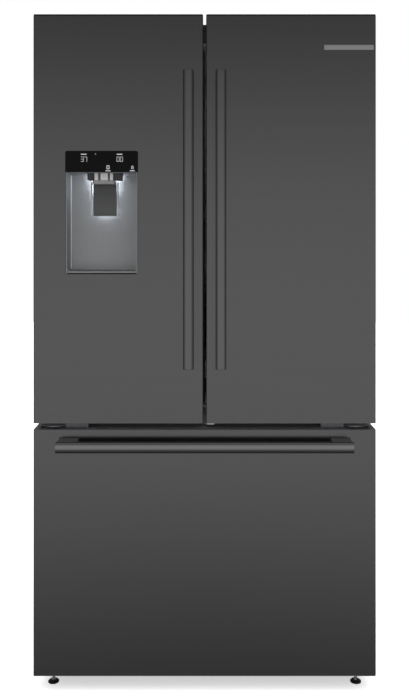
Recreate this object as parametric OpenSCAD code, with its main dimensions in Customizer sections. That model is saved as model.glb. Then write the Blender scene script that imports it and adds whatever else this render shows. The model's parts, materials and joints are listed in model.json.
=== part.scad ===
// French door refrigerator with a bottom freezer drawer and an ice and water dispenser.
// Millimetres. +Z is up, the doors face -Y, and the origin is on the floor under the middle.

/* [Overall] */
// Width over the doors
total_w = 905; // [895:1:915]
// Height from the floor to the top of the doors
total_h = 1790; // [1780:1:1800]
// Depth from the handle fronts to the rear panel
total_d = 790; // [780:1:820]

/* [Doors] */
// Thickness of each door and of the drawer front
door_t = 75; // [70:1:80]
// Height of the doors' lower edge
door_z0 = 709.3; // [709:0.1:712]
// Gap between the two doors
door_gap = 8; // [7:0.5:10]
// Sheet thickness of the door skins
skin_t = 1.5; // [1:0.1:2]
// Radius of the skins' vertical front edges
edge_r = 3; // [2:0.5:4]
// Distance from a door's outer edge in to its hinge axis
hinge_in = 18.5; // [18:0.5:19]
// Distance from the door front back to the hinge axis
hinge_back = 48; // [47:0.5:49]

/* [Freezer drawer] */
// Height of the drawer front's lower edge
drawer_z0 = 42; // [40:1:44]
// Height of the drawer front's upper edge
drawer_z1 = 693; // [688:0.5:694]
// Length of each telescopic slide member
slide_len = 435; // [430:1:440]

/* [Handles] */
// Width of a handle bar across its face
bar_w = 27.5; // [24:0.5:29]
// Depth of a handle bar
bar_d = 20; // [18:1:22]
// Corner radius of the bar section
bar_r = 4; // [3:0.5:6]
// Radius of the bar's crowned face
crown_r = 40; // [30:1:60]
// Distance from the door front to the back of the bar
standoff = 40; // [36:1:44]
// Length of the posts at the ends of a bar
post_len = 52; // [45:1:60]
// Distance from the middle of the refrigerator to a door handle
handle_x = 42; // [40:1:45]
// Lower end of the door handles
handle_z0 = 861; // [850:1:880]
// Upper end of the door handles
handle_z1 = 1632; // [1600:1:1640]
// Half the length of the drawer handle
drawer_handle_x = 384.5; // [360:0.5:390]
// Lower edge of the drawer handle
drawer_handle_z = 645.5; // [640:0.5:650]

/* [Dispenser] */
// Left edge of the dispenser
disp_x0 = -367.9; // [-368:0.1:-367]
// Right edge of the dispenser
disp_x1 = -175.9; // [-177:0.1:-175]
// Lower edge of the dispenser
disp_z0 = 1102; // [1100:1:1104]
// Upper edge of the dispenser
disp_z1 = 1429; // [1428:1:1430]
// Lower edge of the black control panel
panel_z0 = 1373; // [1372:1:1375]
// Depth of the recess that a glass stands in
recess_d = 80; // [78:1:81]

/* [Cabinet] */
// Width of the cabinet
cab_w = 895; // [890:1:895]
// Height of the cabinet's top sheet
cab_top = 1765; // [1760:1:1768]
// Thickness of the cabinet sheet
sheet = 2; // [1.5:0.1:2]
// Thickness of the plastic liners
liner_t = 2; // [1.5:0.1:2]
// Thickness of a door gasket
gasket_t = 12; // [11:0.5:13]
// Half the clear width of both compartments
mouth_x = 405; // [400:1:405]

/* [Interior] */
// Heights of the glass shelves on the left
left_levels = [1050, 1270, 1480]; // [1045:5:1485]
// Heights of the glass shelves on the right
right_levels = [1050, 1240, 1450]; // [1045:5:1455]
// Floor heights of the left door's bins
left_bin_z = [760, 925]; // [755:5:930]
// Floor heights of the right door's bins
right_bin_z = [760, 975, 1190, 1600]; // [755:5:1605]
// Floor height of the dairy bin
dairy_z = 1410; // [1400:1:1430]
// Height of a door bin
bin_h = 105; // [90:1:110]
// Wall thickness of the bins and drawers
wall = 3; // [2.5:0.1:3.5]

/* [Feet and rollers] */
// Diameter of a levelling foot
foot_d = 30; // [28:1:32]
// Distance from the middle to a levelling foot
foot_x = 408; // [405:1:410]
// Radius of a rear roller
roller_r = 19; // [17:0.5:19]

/* [Hidden] */
half_w = total_w / 2;
half_gap = door_gap / 2;
bar_front = -total_d / 2;
bar_back = bar_front + bar_d;
front_y = bar_back + standoff;
back_y = total_d / 2;
panel_back = front_y + door_t;
liner_front = panel_back - 2;
cab_front = panel_back + gasket_t;
cab_x = cab_w / 2;
hinge_x = half_w - hinge_in;
hinge_y = front_y + hinge_back;
// Fresh food and freezer compartments
fresh_z0 = 740;
fresh_z1 = 1722;
freezer_z0 = 100;
freezer_z1 = 656;
cave_back = 325;
step_y = 140;
step_z = 290;
flange_x = mouth_x + 10;
rail_z0 = freezer_z1 + 8;
rail_z1 = fresh_z0 - 8;
flange_z0 = freezer_z0 - 8;
flange_z1 = fresh_z1 + 11;
// Machine bay at the lower back
bay_y = 200;
bay_z = 245;
shell_z0 = 40;
foam_z0 = 60;
rear_sheet = back_y - 2;
// Hinges
pin_r = 5;
arm_r = 14;
running = 0.05;
// Gap left between two pieces of one node that only touch
seam = 0.1;
notch_z = total_h - 28;
hinge_plate = 5;
leaf_t = 3.4;
leaf_z = 696.8;
cover_z0 = drawer_z1 + 1;
cover_z1 = door_z0 - 2.3;
// Gaskets
gasket_w = 18;
gasket_x = half_w - 16.5;
gasket_in = 20;
// Dykes on the door liners
dyke_out = 399;
dyke_in = 55;
dyke_w = 20;
dyke_back = -205;
bin_x0 = dyke_in + dyke_w + 1;
bin_x1 = dyke_out - dyke_w - 1;
bin_back = -160;
// Dispenser
trim = 4.9;
cave_floor = disp_z0 + 8;
housing_back = front_y + recess_d + 3;
bulge = [[-385, panel_back, 1085], [-160, -222, 1450]];
nozzle_x = -270;
chute_half = 26;
chute_t = 3.5;
paddle_y = -277;
paddle_z = 1347;
flap_y = -290;
flap_z = 1390;
// Ice compartment
ice_lo = [-345, panel_back, 1450];
ice_hi = [-110, -150, 1712];
ice_wall = 12;
auger_y = -205;
auger_z = 1500;
// Centre flap between the doors
flap_lo = [-38, -247.5, 752];
flap_hi = [0.5, -235.5, 1709];
flap_pin = [-36, -243];
// Drawers and shelves
shelf_y0 = -90;
shelf_y1 = 300;
drawer_front = -70;
drawer_back = 285;
lip = 8;
// Freezer slides, from the liner wall inwards
slide_gap = 0.6;
slide_t = 6;
slide_z = 300;
slide_h = 36;
slide_y0 = -245;
bin_floor = 110;
tray_z = 346;
// Filter
filter_x = 336;
filter_z = 1697;
filter_r = 22.6;
// Fans
fan_r = 44;
cold_fan_z = 560;
warm_fan_x = -10;
warm_fan = [300, 130];
// Feet
foot_y = -285;
stem_r = 4;
bracket_z = 32;
roller_x = 380;
roller_y = 330;
$fn = 48;
graphite = [0.22, 0.22, 0.225];
satin_black = [0.12, 0.12, 0.125];
white = [0.93, 0.94, 0.95];
clear = [0.82, 0.88, 0.92, 0.6];
zinc = [0.72, 0.73, 0.74];
rubber_grey = [0.35, 0.35, 0.36];
foam_tan = [0.93, 0.86, 0.66];

// ---- Shared shapes ----

// A box between two opposite corners
module block(lo, hi) {
    translate(lo) cube(hi - lo);
}

// Extrudes an outline drawn in X and Z from y0 to y1
module along_y(y0, y1) {
    translate([0, y1, 0]) rotate([90, 0, 0]) linear_extrude(y1 - y0) children();
}

// Extrudes an outline drawn in Y and Z from x0 to x1
module along_x(x0, x1) {
    translate([x0, 0, 0]) rotate([90, 0, 90]) linear_extrude(x1 - x0) children();
}

// Extrudes an outline drawn in X and Y from z0 to z1
module along_z(z0, z1) {
    translate([0, 0, z0]) linear_extrude(z1 - z0) children();
}

// A cylinder along Y
module rod_y(x, z, y0, y1, r) {
    translate([x, y1, z]) rotate([90, 0, 0]) cylinder(h = y1 - y0, r = r);
}

// A cylinder along X
module rod_x(y, z, x0, x1, r) {
    translate([x0, y, z]) rotate([0, 90, 0]) cylinder(h = x1 - x0, r = r);
}

// A cylinder along Z
module rod_z(x, y, z0, z1, r) {
    translate([x, y, z0]) cylinder(h = z1 - z0, r = r);
}

// The same shape on the right and mirrored on the left
module both_sides() {
    children();
    mirror([1, 0, 0]) children();
}

// A rectangle with four round corners
module rounded(lo, hi, r) {
    translate([lo.x + r, lo.y]) square([hi.x - lo.x - 2 * r, hi.y - lo.y]);
    translate([lo.x, lo.y + r]) square([hi.x - lo.x, hi.y - lo.y - 2 * r]);
    for (x = [lo.x + r, hi.x - r], y = [lo.y + r, hi.y - r]) translate([x, y]) circle(r);
}

// A rectangle with only its two front corners round
module round_front(x0, x1, y0, y1, r) {
    translate([x0, y0 + r]) square([x1 - x0, y1 - y0 - r]);
    translate([x0 + r, y0]) square([x1 - x0 - 2 * r, y1 - y0]);
    for (x = [x0 + r, x1 - r]) translate([x, y0 + r]) circle(r);
}

// A folded sheet pan with a closed front, sides, top and bottom, open at the back
module pan(x0, x1, z0, z1) {
    difference() {
        along_z(z0, z1) round_front(x0, x1, front_y, liner_front, edge_r);
        along_z(z0 + skin_t, z1 - skin_t)
            round_front(x0 + skin_t, x1 - skin_t, front_y + skin_t, liner_front + 1, edge_r - skin_t);
    }
}

// A frame lying in the XZ plane
module ring_y(lo, hi, w, y0, y1) {
    difference() {
        along_y(y0, y1) rounded(lo, hi, 6);
        along_y(y0 - 1, y1 + 1) rounded(lo + [w, w], hi - [w, w], 3);
    }
}

// An open-topped box
module tub(lo, hi, t) {
    difference() {
        block(lo, hi);
        block(lo + [t, t, t], [hi.x - t, hi.y - t, hi.z + 1]);
    }
}

// A finned coil with its tubes along X
module finned_coil(lo, hi, fins, tube_r) {
    pitch = (hi.x - lo.x) / fins;
    for (i = [0.5 : fins]) {
        x = lo.x + i * pitch;
        block([x - 0.5, lo.y, lo.z], [x + 0.5, hi.y, hi.z]);
    }
    rows = 5;
    step = (hi.z - lo.z) / rows;
    for (i = [0.5 : rows]) rod_x((lo.y + hi.y) / 2, lo.z + i * step, lo.x, hi.x, tube_r);
}

// A fan on the Z axis, with flat blades set at an angle
module fan(r, blades, depth) {
    cylinder(h = depth, r = r * 0.32);
    for (i = [0 : blades - 1]) rotate([0, 0, i * 360 / blades])
        translate([r * 0.62, 0, depth / 2]) rotate([32, 0, 0]) cube([r * 0.74, r * 0.5, 2], center = true);
}

// A handle's bar section, with round corners and a crowned front
module bar_section() {
    intersection() {
        rounded([-bar_w / 2, bar_front], [bar_w / 2, bar_back], bar_r);
        translate([0, bar_front + crown_r]) circle(crown_r);
    }
}

// ---- Door parts, drawn for the right-hand door ----

// Clearance in a door for the fixed top hinge arm
module hinge_notch() {
    block([hinge_x - arm_r - 2, front_y + 18, notch_z], [half_w + 1, panel_back + 1, total_h + 1]);
}

// Bores for the hinge pins, top and bottom
module hinge_bores(r) {
    rod_z(hinge_x, hinge_y, notch_z - 25, notch_z + 1, r);
    rod_z(hinge_x, hinge_y, door_z0 - 1, door_z0 + 23, r);
}

module door_skin() {
    difference() {
        pan(half_gap, half_w, door_z0, total_h);
        hinge_notch();
        hinge_bores(8);
    }
}

module door_core() {
    difference() {
        along_z(door_z0 + skin_t, total_h - skin_t) round_front(half_gap + skin_t, half_w - skin_t,
            front_y + skin_t, liner_front, edge_r - skin_t);
        hinge_notch();
        hinge_bores(pin_r + running);
    }
}

module door_liner() {
    difference() {
        union() {
            block([half_gap, liner_front, door_z0], [half_w, panel_back, total_h]);
            for (x = [dyke_in, dyke_out - dyke_w])
                block([x, panel_back, fresh_z0 + 6], [x + dyke_w, dyke_back, fresh_z1 - 6]);
        }
        hinge_notch();
    }
}

module door_gasket() {
    ring_y([gasket_in, door_z0 + 7], [gasket_x, fresh_z1 + 35], gasket_w, panel_back, cab_front - 0.3);
}

module door_handle() {
    translate([handle_x, 0, 0]) {
        along_z(handle_z0, handle_z1) bar_section();
        for (z = [handle_z0 + 1, handle_z1 - post_len - 1])
            block([-bar_w / 2 + 3, bar_back + seam, z], [bar_w / 2 - 3, front_y, z + post_len]);
    }
}

module door_bin(z, h) {
    tub([bin_x0, panel_back, z], [bin_x1, bin_back, z + h], wall);
}

// ---- Cabinet ----

module centre_rail() {
    difference() {
        block([-flange_x + seam, cab_front, rail_z0], [flange_x - seam, cab_front + 20, rail_z1]);
        block([-flange_x - 1, cab_front + sheet, rail_z0 + sheet],
            [flange_x + 1, cab_front + 21, rail_z1 - sheet]);
    }
}

module cabinet_shell() color(graphite) {
    difference() {
        block([-cab_x, cab_front, shell_z0], [cab_x, rear_sheet, cab_top]);
        block([-cab_x + sheet, cab_front + sheet, shell_z0 - 1],
            [cab_x - sheet, rear_sheet + 1, cab_top - sheet]);
        block([-flange_x, cab_front - 1, flange_z0], [flange_x, cab_front + 3, flange_z1]);
    }
    centre_rail();
}

module rear_panel() color(zinc)
    block([-cab_x, rear_sheet, bay_z], [cab_x, back_y, cab_top]);

// Front outline of the fresh food compartment
module fresh_opening(grow) {
    rounded([-mouth_x - grow, fresh_z0 - grow], [mouth_x + grow, fresh_z1 + grow], 12 + grow);
}

module fresh_outer() {
    along_y(cab_front, cave_back + liner_t) fresh_opening(liner_t);
}

// Side outline of the freezer compartment, stepped over the machine bay
module freezer_side(grow) {
    polygon([[cab_front - 1 + grow / 2, freezer_z0 - grow], [step_y + grow, freezer_z0 - grow],
        [step_y + grow, step_z - grow], [cave_back + grow, step_z - grow],
        [cave_back + grow, freezer_z1 + grow], [cab_front - 1 + grow / 2, freezer_z1 + grow]]);
}

module cabinet_foam() color(foam_tan)
    difference() {
        block([-cab_x + sheet, cab_front + sheet, foam_z0], [cab_x - sheet, rear_sheet, cab_top - sheet]);
        fresh_outer();
        along_x(-mouth_x - liner_t, mouth_x + liner_t) freezer_side(liner_t);
        block([-cab_x, bay_y, foam_z0 - 1], [cab_x, back_y, bay_z]);
        centre_rail();
    }

module fresh_food_liner() color(white) {
    difference() {
        union() {
            fresh_outer();
            block([-flange_x, cab_front, rail_z1], [flange_x, cab_front + sheet, flange_z1]);
        }
        along_y(cab_front - 1, cave_back) fresh_opening(0);
    }
    // Ledges that carry the shelves
    for (z = right_levels) block([mouth_x - 6, shelf_y0, z - 24], [mouth_x, shelf_y1, z - 12]);
    for (z = left_levels) block([-mouth_x, shelf_y0, z - 24], [-mouth_x + 6, shelf_y1, z - 12]);
}

module freezer_liner() color(white)
    difference() {
        union() {
            intersection() {
                along_x(-mouth_x - liner_t, mouth_x + liner_t) freezer_side(liner_t);
                block([-cab_x, cab_front, 0], [cab_x, back_y, cab_top]);
            }
            block([-flange_x, cab_front, flange_z0], [flange_x, cab_front + sheet, rail_z0]);
        }
        along_x(-mouth_x, mouth_x) freezer_side(0);
    }

module top_cover() color(satin_black)
    difference() {
        along_x(-cab_x, cab_x) polygon([[cab_front, cab_top], [cab_front, total_h - 6],
            [cab_front + 4, total_h - 4], [-160, total_h - 4], [-140, cab_top + 6], [-140, cab_top]]);
        block([-cab_x + 3, cab_front + 3, cab_top - 1], [cab_x - 3, -145, total_h - 8]);
        both_sides()
            block([hinge_x - arm_r - 1, cab_front - 1, cab_top - 1], [cab_x + 1, -190, cab_top + 12]);
    }

module top_hinge() {
    difference() {
        union() {
            along_z(cab_top, cab_top + hinge_plate) {
                translate([hinge_x, hinge_y]) circle(arm_r);
                translate([hinge_x - arm_r, hinge_y]) square([2 * arm_r, -198 - hinge_y]);
            }
            rod_z(hinge_x, hinge_y, notch_z - 22, cab_top + 1, pin_r);
        }
        block([cab_x, cab_front, cab_top - 1], [half_w, back_y, total_h]);
    }
    for (y = [-236, -208]) rod_z(hinge_x, y, cab_top + hinge_plate + seam, cab_top + hinge_plate + 4, 6);
}

module mid_hinge() {
    // Round-fronted leaf under the door's corner
    along_z(leaf_z, leaf_z + leaf_t) intersection() {
        hull() {
            translate([401, -288]) circle(42);
            translate([371, cab_front - 4]) square([72, 4]);
        }
        translate([371, -331]) square([72, cab_front + 331]);
    }
    // Covered inner part of the hinge
    along_z(cover_z0, cover_z1) rounded([309, -318], [371, cab_front - 1], 4);
    block([309, cab_front - 4, cover_z1], [441, cab_front, door_z0 + 4]);
    block([309, cab_front - 4, drawer_z1 - 6], [441, cab_front, cover_z1]);
    rod_z(hinge_x, hinge_y, leaf_z + leaf_t, door_z0 + 20, pin_r);
}

module door_hinges() color(zinc) both_sides() {
    top_hinge();
    mid_hinge();
    for (x = [322, 358]) rod_y(x, door_z0 - 1, cab_front - 7, cab_front - 4 - seam, 4);
}

// The two plates that hold the right-hand roller
module roller_fork() {
    for (x = [roller_x - 14, roller_x + 11]) difference() {
        block([x, roller_y - 14, roller_r - 9], [x + 3, roller_y + 14, shell_z0 - seam]);
        rod_x(roller_y, roller_r, x - 1, x + 4, stem_r + running);
    }
}

// The bent bracket that the right-hand foot screws into
module foot_bracket() {
    difference() {
        union() {
            block([380, foot_y - 20, bracket_z], [440, cab_front + 20, bracket_z + 6]);
            block([380, cab_front + sheet, bracket_z], [440, cab_front + 5, shell_z0 - seam]);
        }
        rod_z(foot_x, foot_y, bracket_z - 1, bracket_z + 7, stem_r + running);
    }
}

module base_frame() color(zinc) {
    rail_x = 400;
    block([-rail_x + seam, bay_y, shell_z0], [rail_x - seam, back_y - 4, shell_z0 + 3]);
    block([-rail_x + seam, cab_front + sheet, shell_z0], [rail_x - seam, cab_front + 5, foam_z0]);
    both_sides() {
        block([rail_x, cab_front + sheet, shell_z0], [cab_x - sheet, back_y - 4, shell_z0 + 3]);
        block([rail_x, cab_front + sheet, shell_z0], [rail_x + 3, back_y - 4, foam_z0]);
        foot_bracket();
        roller_fork();
        rod_x(roller_y, roller_r, roller_x - 16, roller_x + 16, stem_r);
    }
}

module compressor() color(satin_black) translate([-270, warm_fan.x, 0]) {
    rod_z(0, 0, 64, 165, 76);
    translate([0, 0, 165]) cylinder(h = 26, r1 = 76, r2 = 46);
    block([-92, -70, 59], [92, 70, 64]);
    for (x = [-78, 78], y = [-56, 56]) rod_z(x, y, shell_z0 + 3, 59, 11);
    block([74, -24, 100], [98, 24, 150]);
}

module condenser() color(satin_black) {
    finned_coil([90, 240, shell_z0 + 5], [370, 350, 215], 28, 5);
    // Fan shroud beside the coil
    difference() {
        block([warm_fan_x + 30, 232, shell_z0 + 3], [warm_fan_x + 34, 368, 215]);
        rod_x(warm_fan.x, warm_fan.y, warm_fan_x + 29, warm_fan_x + 35, 62);
    }
    // Motor held behind the fan
    rod_x(warm_fan.x, warm_fan.y, warm_fan_x - 40, warm_fan_x - 4, 24);
    block([warm_fan_x - 40, warm_fan.x - 8, shell_z0 + 3],
        [warm_fan_x - 30, warm_fan.x + 8, warm_fan.y - 20]);
}

module machine_cover() color(zinc) {
    difference() {
        block([-cab_x + 4, back_y - 3, shell_z0 + 4], [cab_x - 4, back_y, bay_z]);
        for (row = [0 : 5], i = [-9 : 9]) if (i < -2 || i > 2 || row > 0)
            translate([i * 42, back_y, 80 + row * 26]) cube([30, 8, 8], center = true);
        rod_y(0, 66, back_y - 4, back_y + 1, 9);
    }
}

module evaporator() color(zinc)
    finned_coil([-250, 298, 320], [250, 323, 480], 40, 4);

module evaporator_cover() color(white)
    difference() {
        block([-330, 291, 296], [330, 295, 648]);
        rod_y(0, cold_fan_z, 290, 296, 48);
        for (i = [-5 : 5]) translate([i * 50, 293, 318]) cube([36, 8, 8], center = true);
    }

module air_duct() color(white)
    difference() {
        block([-70, 303, 1062], [70, cave_back, 1700]);
        block([-66, 307, 1061], [66, cave_back + 1, 1696]);
        for (z = [1120 : 70 : 1660], x = [-36, 36]) translate([x, 304, z]) cube([40, 10, 8], center = true);
    }

// One half-width shelf on the right: the four bars around it, or the glass between them
module shelf_frame(z) {
    for (y = [[shelf_y0, shelf_y0 + 10], [shelf_y1 - 8, shelf_y1]])
        block([5, y[0], z - 12], [398, y[1], z + 3]);
    for (x = [5, 390])
        block([x, shelf_y0 + 10 + seam, z - 12], [x + 8, shelf_y1 - 8 - seam, z + 3]);
}

module shelf_glass(z) {
    block([13, shelf_y0 + 10, z - 3], [390, shelf_y1 - 8, z + 1]);
}

module glass_shelves() color(clear) {
    for (z = right_levels) shelf_glass(z);
    mirror([1, 0, 0]) for (z = left_levels) shelf_glass(z);
}

module shelf_frames() color(white) {
    for (z = right_levels) shelf_frame(z);
    mirror([1, 0, 0]) for (z = left_levels) shelf_frame(z);
    // Divider under the crispers
    block([-mouth_x, drawer_front, 857], [mouth_x, shelf_y1, 862]);
}

module filter_housing() color(white)
    difference() {
        along_y(-55, 160) {
            rounded([filter_x - 30, filter_z - 30], [filter_x + 30, fresh_z1], 12);
            translate([filter_x - 30, filter_z]) square([60, fresh_z1 - filter_z]);
        }
        rod_y(filter_x, filter_z, -56, 150, filter_r + 0.4);
    }

// One telescopic slide member on the right, counted inwards from the liner
module slide_member(i, y0, len) {
    x1 = mouth_x - i * (slide_t + slide_gap);
    block([x1 - slide_t, y0, slide_z + 3 * i], [x1, y0 + len, slide_z + slide_h - 3 * i]);
}

module freezer_rails() color(zinc) both_sides() slide_member(0, slide_y0, slide_len);

// ---- Small moving parts ----

module condenser_fan() color(satin_black)
    translate([warm_fan_x, warm_fan.x, warm_fan.y]) rotate([0, 90, 0]) fan(58, 6, 20);

module evaporator_fan() color(satin_black)
    translate([0, 318, cold_fan_z]) rotate([90, 0, 0]) fan(fan_r, 5, 18);

module water_filter() color(white) {
    rod_y(filter_x, filter_z, -78, 148, filter_r);
    block([filter_x - 4, -92, filter_z - 18], [filter_x + 4, -78, filter_z + 18]);
}

module foot() {
    rod_z(foot_x, foot_y, 0, 3, foot_d / 2);
    translate([foot_x, foot_y, 3]) cylinder(h = 4, r1 = foot_d / 2, r2 = foot_d / 2 - 5);
    rod_z(foot_x, foot_y, 7, 10, 7);
    rod_z(foot_x, foot_y, 10, 52, stem_r);
}

module left_foot() color(satin_black) mirror([1, 0, 0]) foot();

module right_foot() color(satin_black) foot();

module roller() {
    difference() {
        rod_x(roller_y, roller_r, roller_x - 10, roller_x + 10, roller_r);
        rod_x(roller_y, roller_r, roller_x - 11, roller_x + 11, stem_r + running);
    }
}

module left_roller() color(satin_black) mirror([1, 0, 0]) roller();

module right_roller() color(satin_black) roller();

// A pull-out food drawer with a finger lip along the top of its front
module food_drawer(x0, x1, z0, z1) {
    tub([x0, drawer_front, z0], [x1, drawer_back, z1], wall);
    block([x0, drawer_front - lip, z1 - 22], [x1, drawer_front, z1]);
}

module left_crisper() color(clear) mirror([1, 0, 0]) food_drawer(6, 396, 862.5, 1034);

module right_crisper() color(clear) food_drawer(6, 396, 862.5, 1034);

module chiller_drawer() color(clear) food_drawer(-394, 394, 745, 853);

// ---- Left door ----

module dispenser_outline() {
    rounded([disp_x0, disp_z0], [disp_x1, disp_z1], 6);
}

module left_door_skin() color(graphite)
    difference() {
        mirror([1, 0, 0]) door_skin();
        along_y(front_y - 1, front_y + 3) dispenser_outline();
    }

module chute_side(t) {
    polygon([[-322 + t, 1353], [-286 - t, 1353], [-286 - t, 1400 + t / 2], [-222 - t, 1450],
        [-262 + t, 1450], [-322 + t, 1410 - t / 2]]);
}

module chute_space() {
    along_x(nozzle_x - chute_half, nozzle_x + chute_half) chute_side(0);
}

module left_door_core() color(foam_tan)
    difference() {
        union() {
            mirror([1, 0, 0]) door_core();
            block(bulge[0] + [2, -2, 2], bulge[1] - [2, 2, 2]);
        }
        along_y(front_y, housing_back) dispenser_outline();
        chute_space();
    }

module left_door_liner() color(white) {
    difference() {
        union() {
            mirror([1, 0, 0]) door_liner();
            block(bulge[0], bulge[1]);
        }
        block(bulge[0] + [2, -3, 2], bulge[1] - [2, 2, 2]);
        chute_space();
    }
    // Arms that carry the centre flap
    for (z = [flap_lo.z - 6, flap_hi.z + 1]) difference() {
        block([-dyke_in, flap_lo.y - 0.1, z], [-31, flap_hi.y - 2, z + 5]);
        rod_z(flap_pin.x, flap_pin.y, z - 1, z + 6, 2.5 + running);
    }
}

module left_door_gasket() color(rubber_grey) mirror([1, 0, 0]) door_gasket();

module left_door_handle() color(graphite) mirror([1, 0, 0]) door_handle();

module dispenser_housing() color([0.6, 0.62, 0.64]) {
    difference() {
        along_y(front_y - 1, housing_back) dispenser_outline();
        block([disp_x0 + trim, front_y - 2, cave_floor], [disp_x1 - trim, housing_back - 3, panel_z0 - 2]);
        block([disp_x0 + trim, front_y - 2, panel_z0 + 1], [disp_x1 - trim, housing_back - 3, disp_z1 - 5]);
        block([nozzle_x - 46, -324, panel_z0 - 3], [nozzle_x + 46, -268, panel_z0 + 2]);
        chute_space();
    }
    // Removable drip tray
    tray_lo = [disp_x0 + trim + 1, front_y + 5, cave_floor + seam];
    tray_hi = [disp_x1 - trim - 1, housing_back - 5, cave_floor + 4];
    difference() {
        block(tray_lo, tray_hi);
        for (i = [-9 : 9]) translate([nozzle_x - 2 + i * 8.6, (tray_lo.y + tray_hi.y) / 2, tray_hi.z])
            cube([4, 52, 8], center = true);
    }
}

module control_panel() color([0.03, 0.03, 0.035]) {
    intersection() {
        along_y(front_y - 3, front_y - 1) dispenser_outline();
        block([disp_x0, front_y - 4, panel_z0], [disp_x1, front_y, disp_z1]);
    }
    block([disp_x0 + trim, front_y - 1, panel_z0 + 1], [disp_x1 - trim, front_y + 7, disp_z1 - 5]);
}

module ice_nozzle() color([0.7, 0.71, 0.72])
    difference() {
        union() {
            block([nozzle_x - 46, -324, 1353], [nozzle_x + 46, -268, panel_z0 + 1]);
            block([nozzle_x - 30, -322, 1342], [nozzle_x + 30, -286, 1353]);
            chute_space();
            for (x = [nozzle_x - 46, nozzle_x + 41]) block([x, -284, 1340], [x + 5, -270, 1353]);
        }
        along_x(nozzle_x - chute_half + chute_t, nozzle_x + chute_half - chute_t) chute_side(chute_t);
        block([nozzle_x - chute_half + chute_t, -322 + chute_t, 1341],
            [nozzle_x + chute_half - chute_t, -286 - chute_t, 1354]);
        rod_x(paddle_y, paddle_z, nozzle_x - 50, nozzle_x + 50, 2.5 + running);
        rod_x(paddle_y, paddle_z, nozzle_x - 41, nozzle_x + 41, 5.5);
        block([nozzle_x - 41, paddle_y - 6, 1339], [nozzle_x + 41, paddle_y + 6, paddle_z]);
    }

module ice_box() color(white)
    difference() {
        block(ice_lo, ice_hi);
        block(ice_lo + [ice_wall, ice_wall, ice_wall], ice_hi - [ice_wall, ice_wall, ice_wall]);
        block([nozzle_x - 22.5, -256, ice_lo.z - 1], [nozzle_x + 22.5, -226, ice_lo.z + ice_wall + 1]);
    }

module ice_bucket() color(clear)
    difference() {
        tub([-330, -246, 1463], [-125, -164, 1640], wall);
        block([nozzle_x - 22, -242, 1460], [nozzle_x + 22, -226, 1470]);
        rod_x(auger_y, auger_z, -332, -123, stem_r + running);
    }

module left_door_bins() color(clear) mirror([1, 0, 0]) for (z = left_bin_z) door_bin(z, bin_h);

module dispenser_paddle() color([0.35, 0.36, 0.37]) {
    rod_x(paddle_y, paddle_z, nozzle_x - 45.5, nozzle_x + 45.5, 2.5);
    rod_x(paddle_y, paddle_z, nozzle_x - 38, nozzle_x + 38, 4.5);
    block([nozzle_x - 32, paddle_y - 2, 1258], [nozzle_x + 32, paddle_y + 2, paddle_z]);
    for (x = [nozzle_x - 36, nozzle_x + 32])
        block([x, paddle_y - 2, 1258], [x + 4, paddle_y + 4, paddle_z - 3]);
}

module chute_flap() color(satin_black) {
    block([nozzle_x - 22, -318, flap_z - 1.2], [nozzle_x + 22, flap_y, flap_z + 1.2]);
    rod_x(flap_y - 1.5, flap_z, nozzle_x - 22, nozzle_x + 22, 2);
}

module ice_auger() color(zinc) {
    rod_x(auger_y, auger_z, -331.5, -123.5, stem_r);
    for (i = [0 : 8]) translate([-308 + i * 20, auger_y, auger_z]) rotate([i * 40, 0, 0])
        cube([3, 12, 64], center = true);
}

module centre_flap() color(satin_black) {
    block(flap_lo, flap_hi);
    rod_z(flap_pin.x, flap_pin.y, flap_lo.z - 6, flap_hi.z + 6, 2.5);
}

// ---- Right door ----

module right_door_skin() color(graphite) door_skin();

module right_door_core() color(foam_tan) door_core();

module right_door_liner() color(white) door_liner();

module right_door_gasket() color(rubber_grey) door_gasket();

module right_door_handle() color(graphite) door_handle();

module badge_plate() color([0.55, 0.55, 0.56])
    block([315.6, front_y - 1, 1695.7], [446.6, front_y, 1709]);

module right_door_bins() color(clear) {
    for (z = right_bin_z) door_bin(z, z == max(right_bin_z) ? 80 : bin_h);
    // Dairy bin, closed by its own lid
    tub([bin_x0, panel_back, dairy_z], [bin_x1, bin_back, dairy_z + 85], wall);
}

module dairy_lid() color(clear) {
    z = dairy_z + 85.5;
    block([bin_x0, panel_back + 8, z], [bin_x1, bin_back + 4, z + 3]);
    block([bin_x0, bin_back + 0.5, z - 30], [bin_x1, bin_back + 4, z]);
    rod_x(panel_back + 8, z + 3, bin_x0, bin_x1, 3);
}

// ---- Freezer drawer ----

module drawer_skin() color(graphite)
    difference() {
        pan(-half_w, half_w, drawer_z0, drawer_z1);
        block([-half_w + skin_t, front_y + 15, drawer_z0 - 1],
            [half_w - skin_t, panel_back, drawer_z0 + 3]);
    }

module drawer_core() color(foam_tan)
    along_z(70, drawer_z1 - skin_t) round_front(-half_w + skin_t, half_w - skin_t,
        front_y + skin_t, liner_front, edge_r - skin_t);

module drawer_liner() color(white) {
    block([-half_w, liner_front, 70], [half_w, panel_back, drawer_z1]);
    block([-380, panel_back, 106], [380, -242, 650]);
}

module drawer_gasket() color(rubber_grey)
    ring_y([-gasket_x, 72], [gasket_x, 684], gasket_w, panel_back, cab_front - 0.3);

module drawer_handle() color(graphite) {
    translate([-drawer_handle_x, 0, drawer_handle_z + bar_w / 2]) rotate([0, 90, 0])
        linear_extrude(2 * drawer_handle_x) bar_section();
    both_sides() block([drawer_handle_x - post_len - 1, bar_back + seam, drawer_handle_z + 2],
        [drawer_handle_x - 1, front_y, drawer_handle_z + bar_w]);
}

module drawer_runners() color(zinc) both_sides() slide_member(2, panel_back, slide_len + 5);

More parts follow.
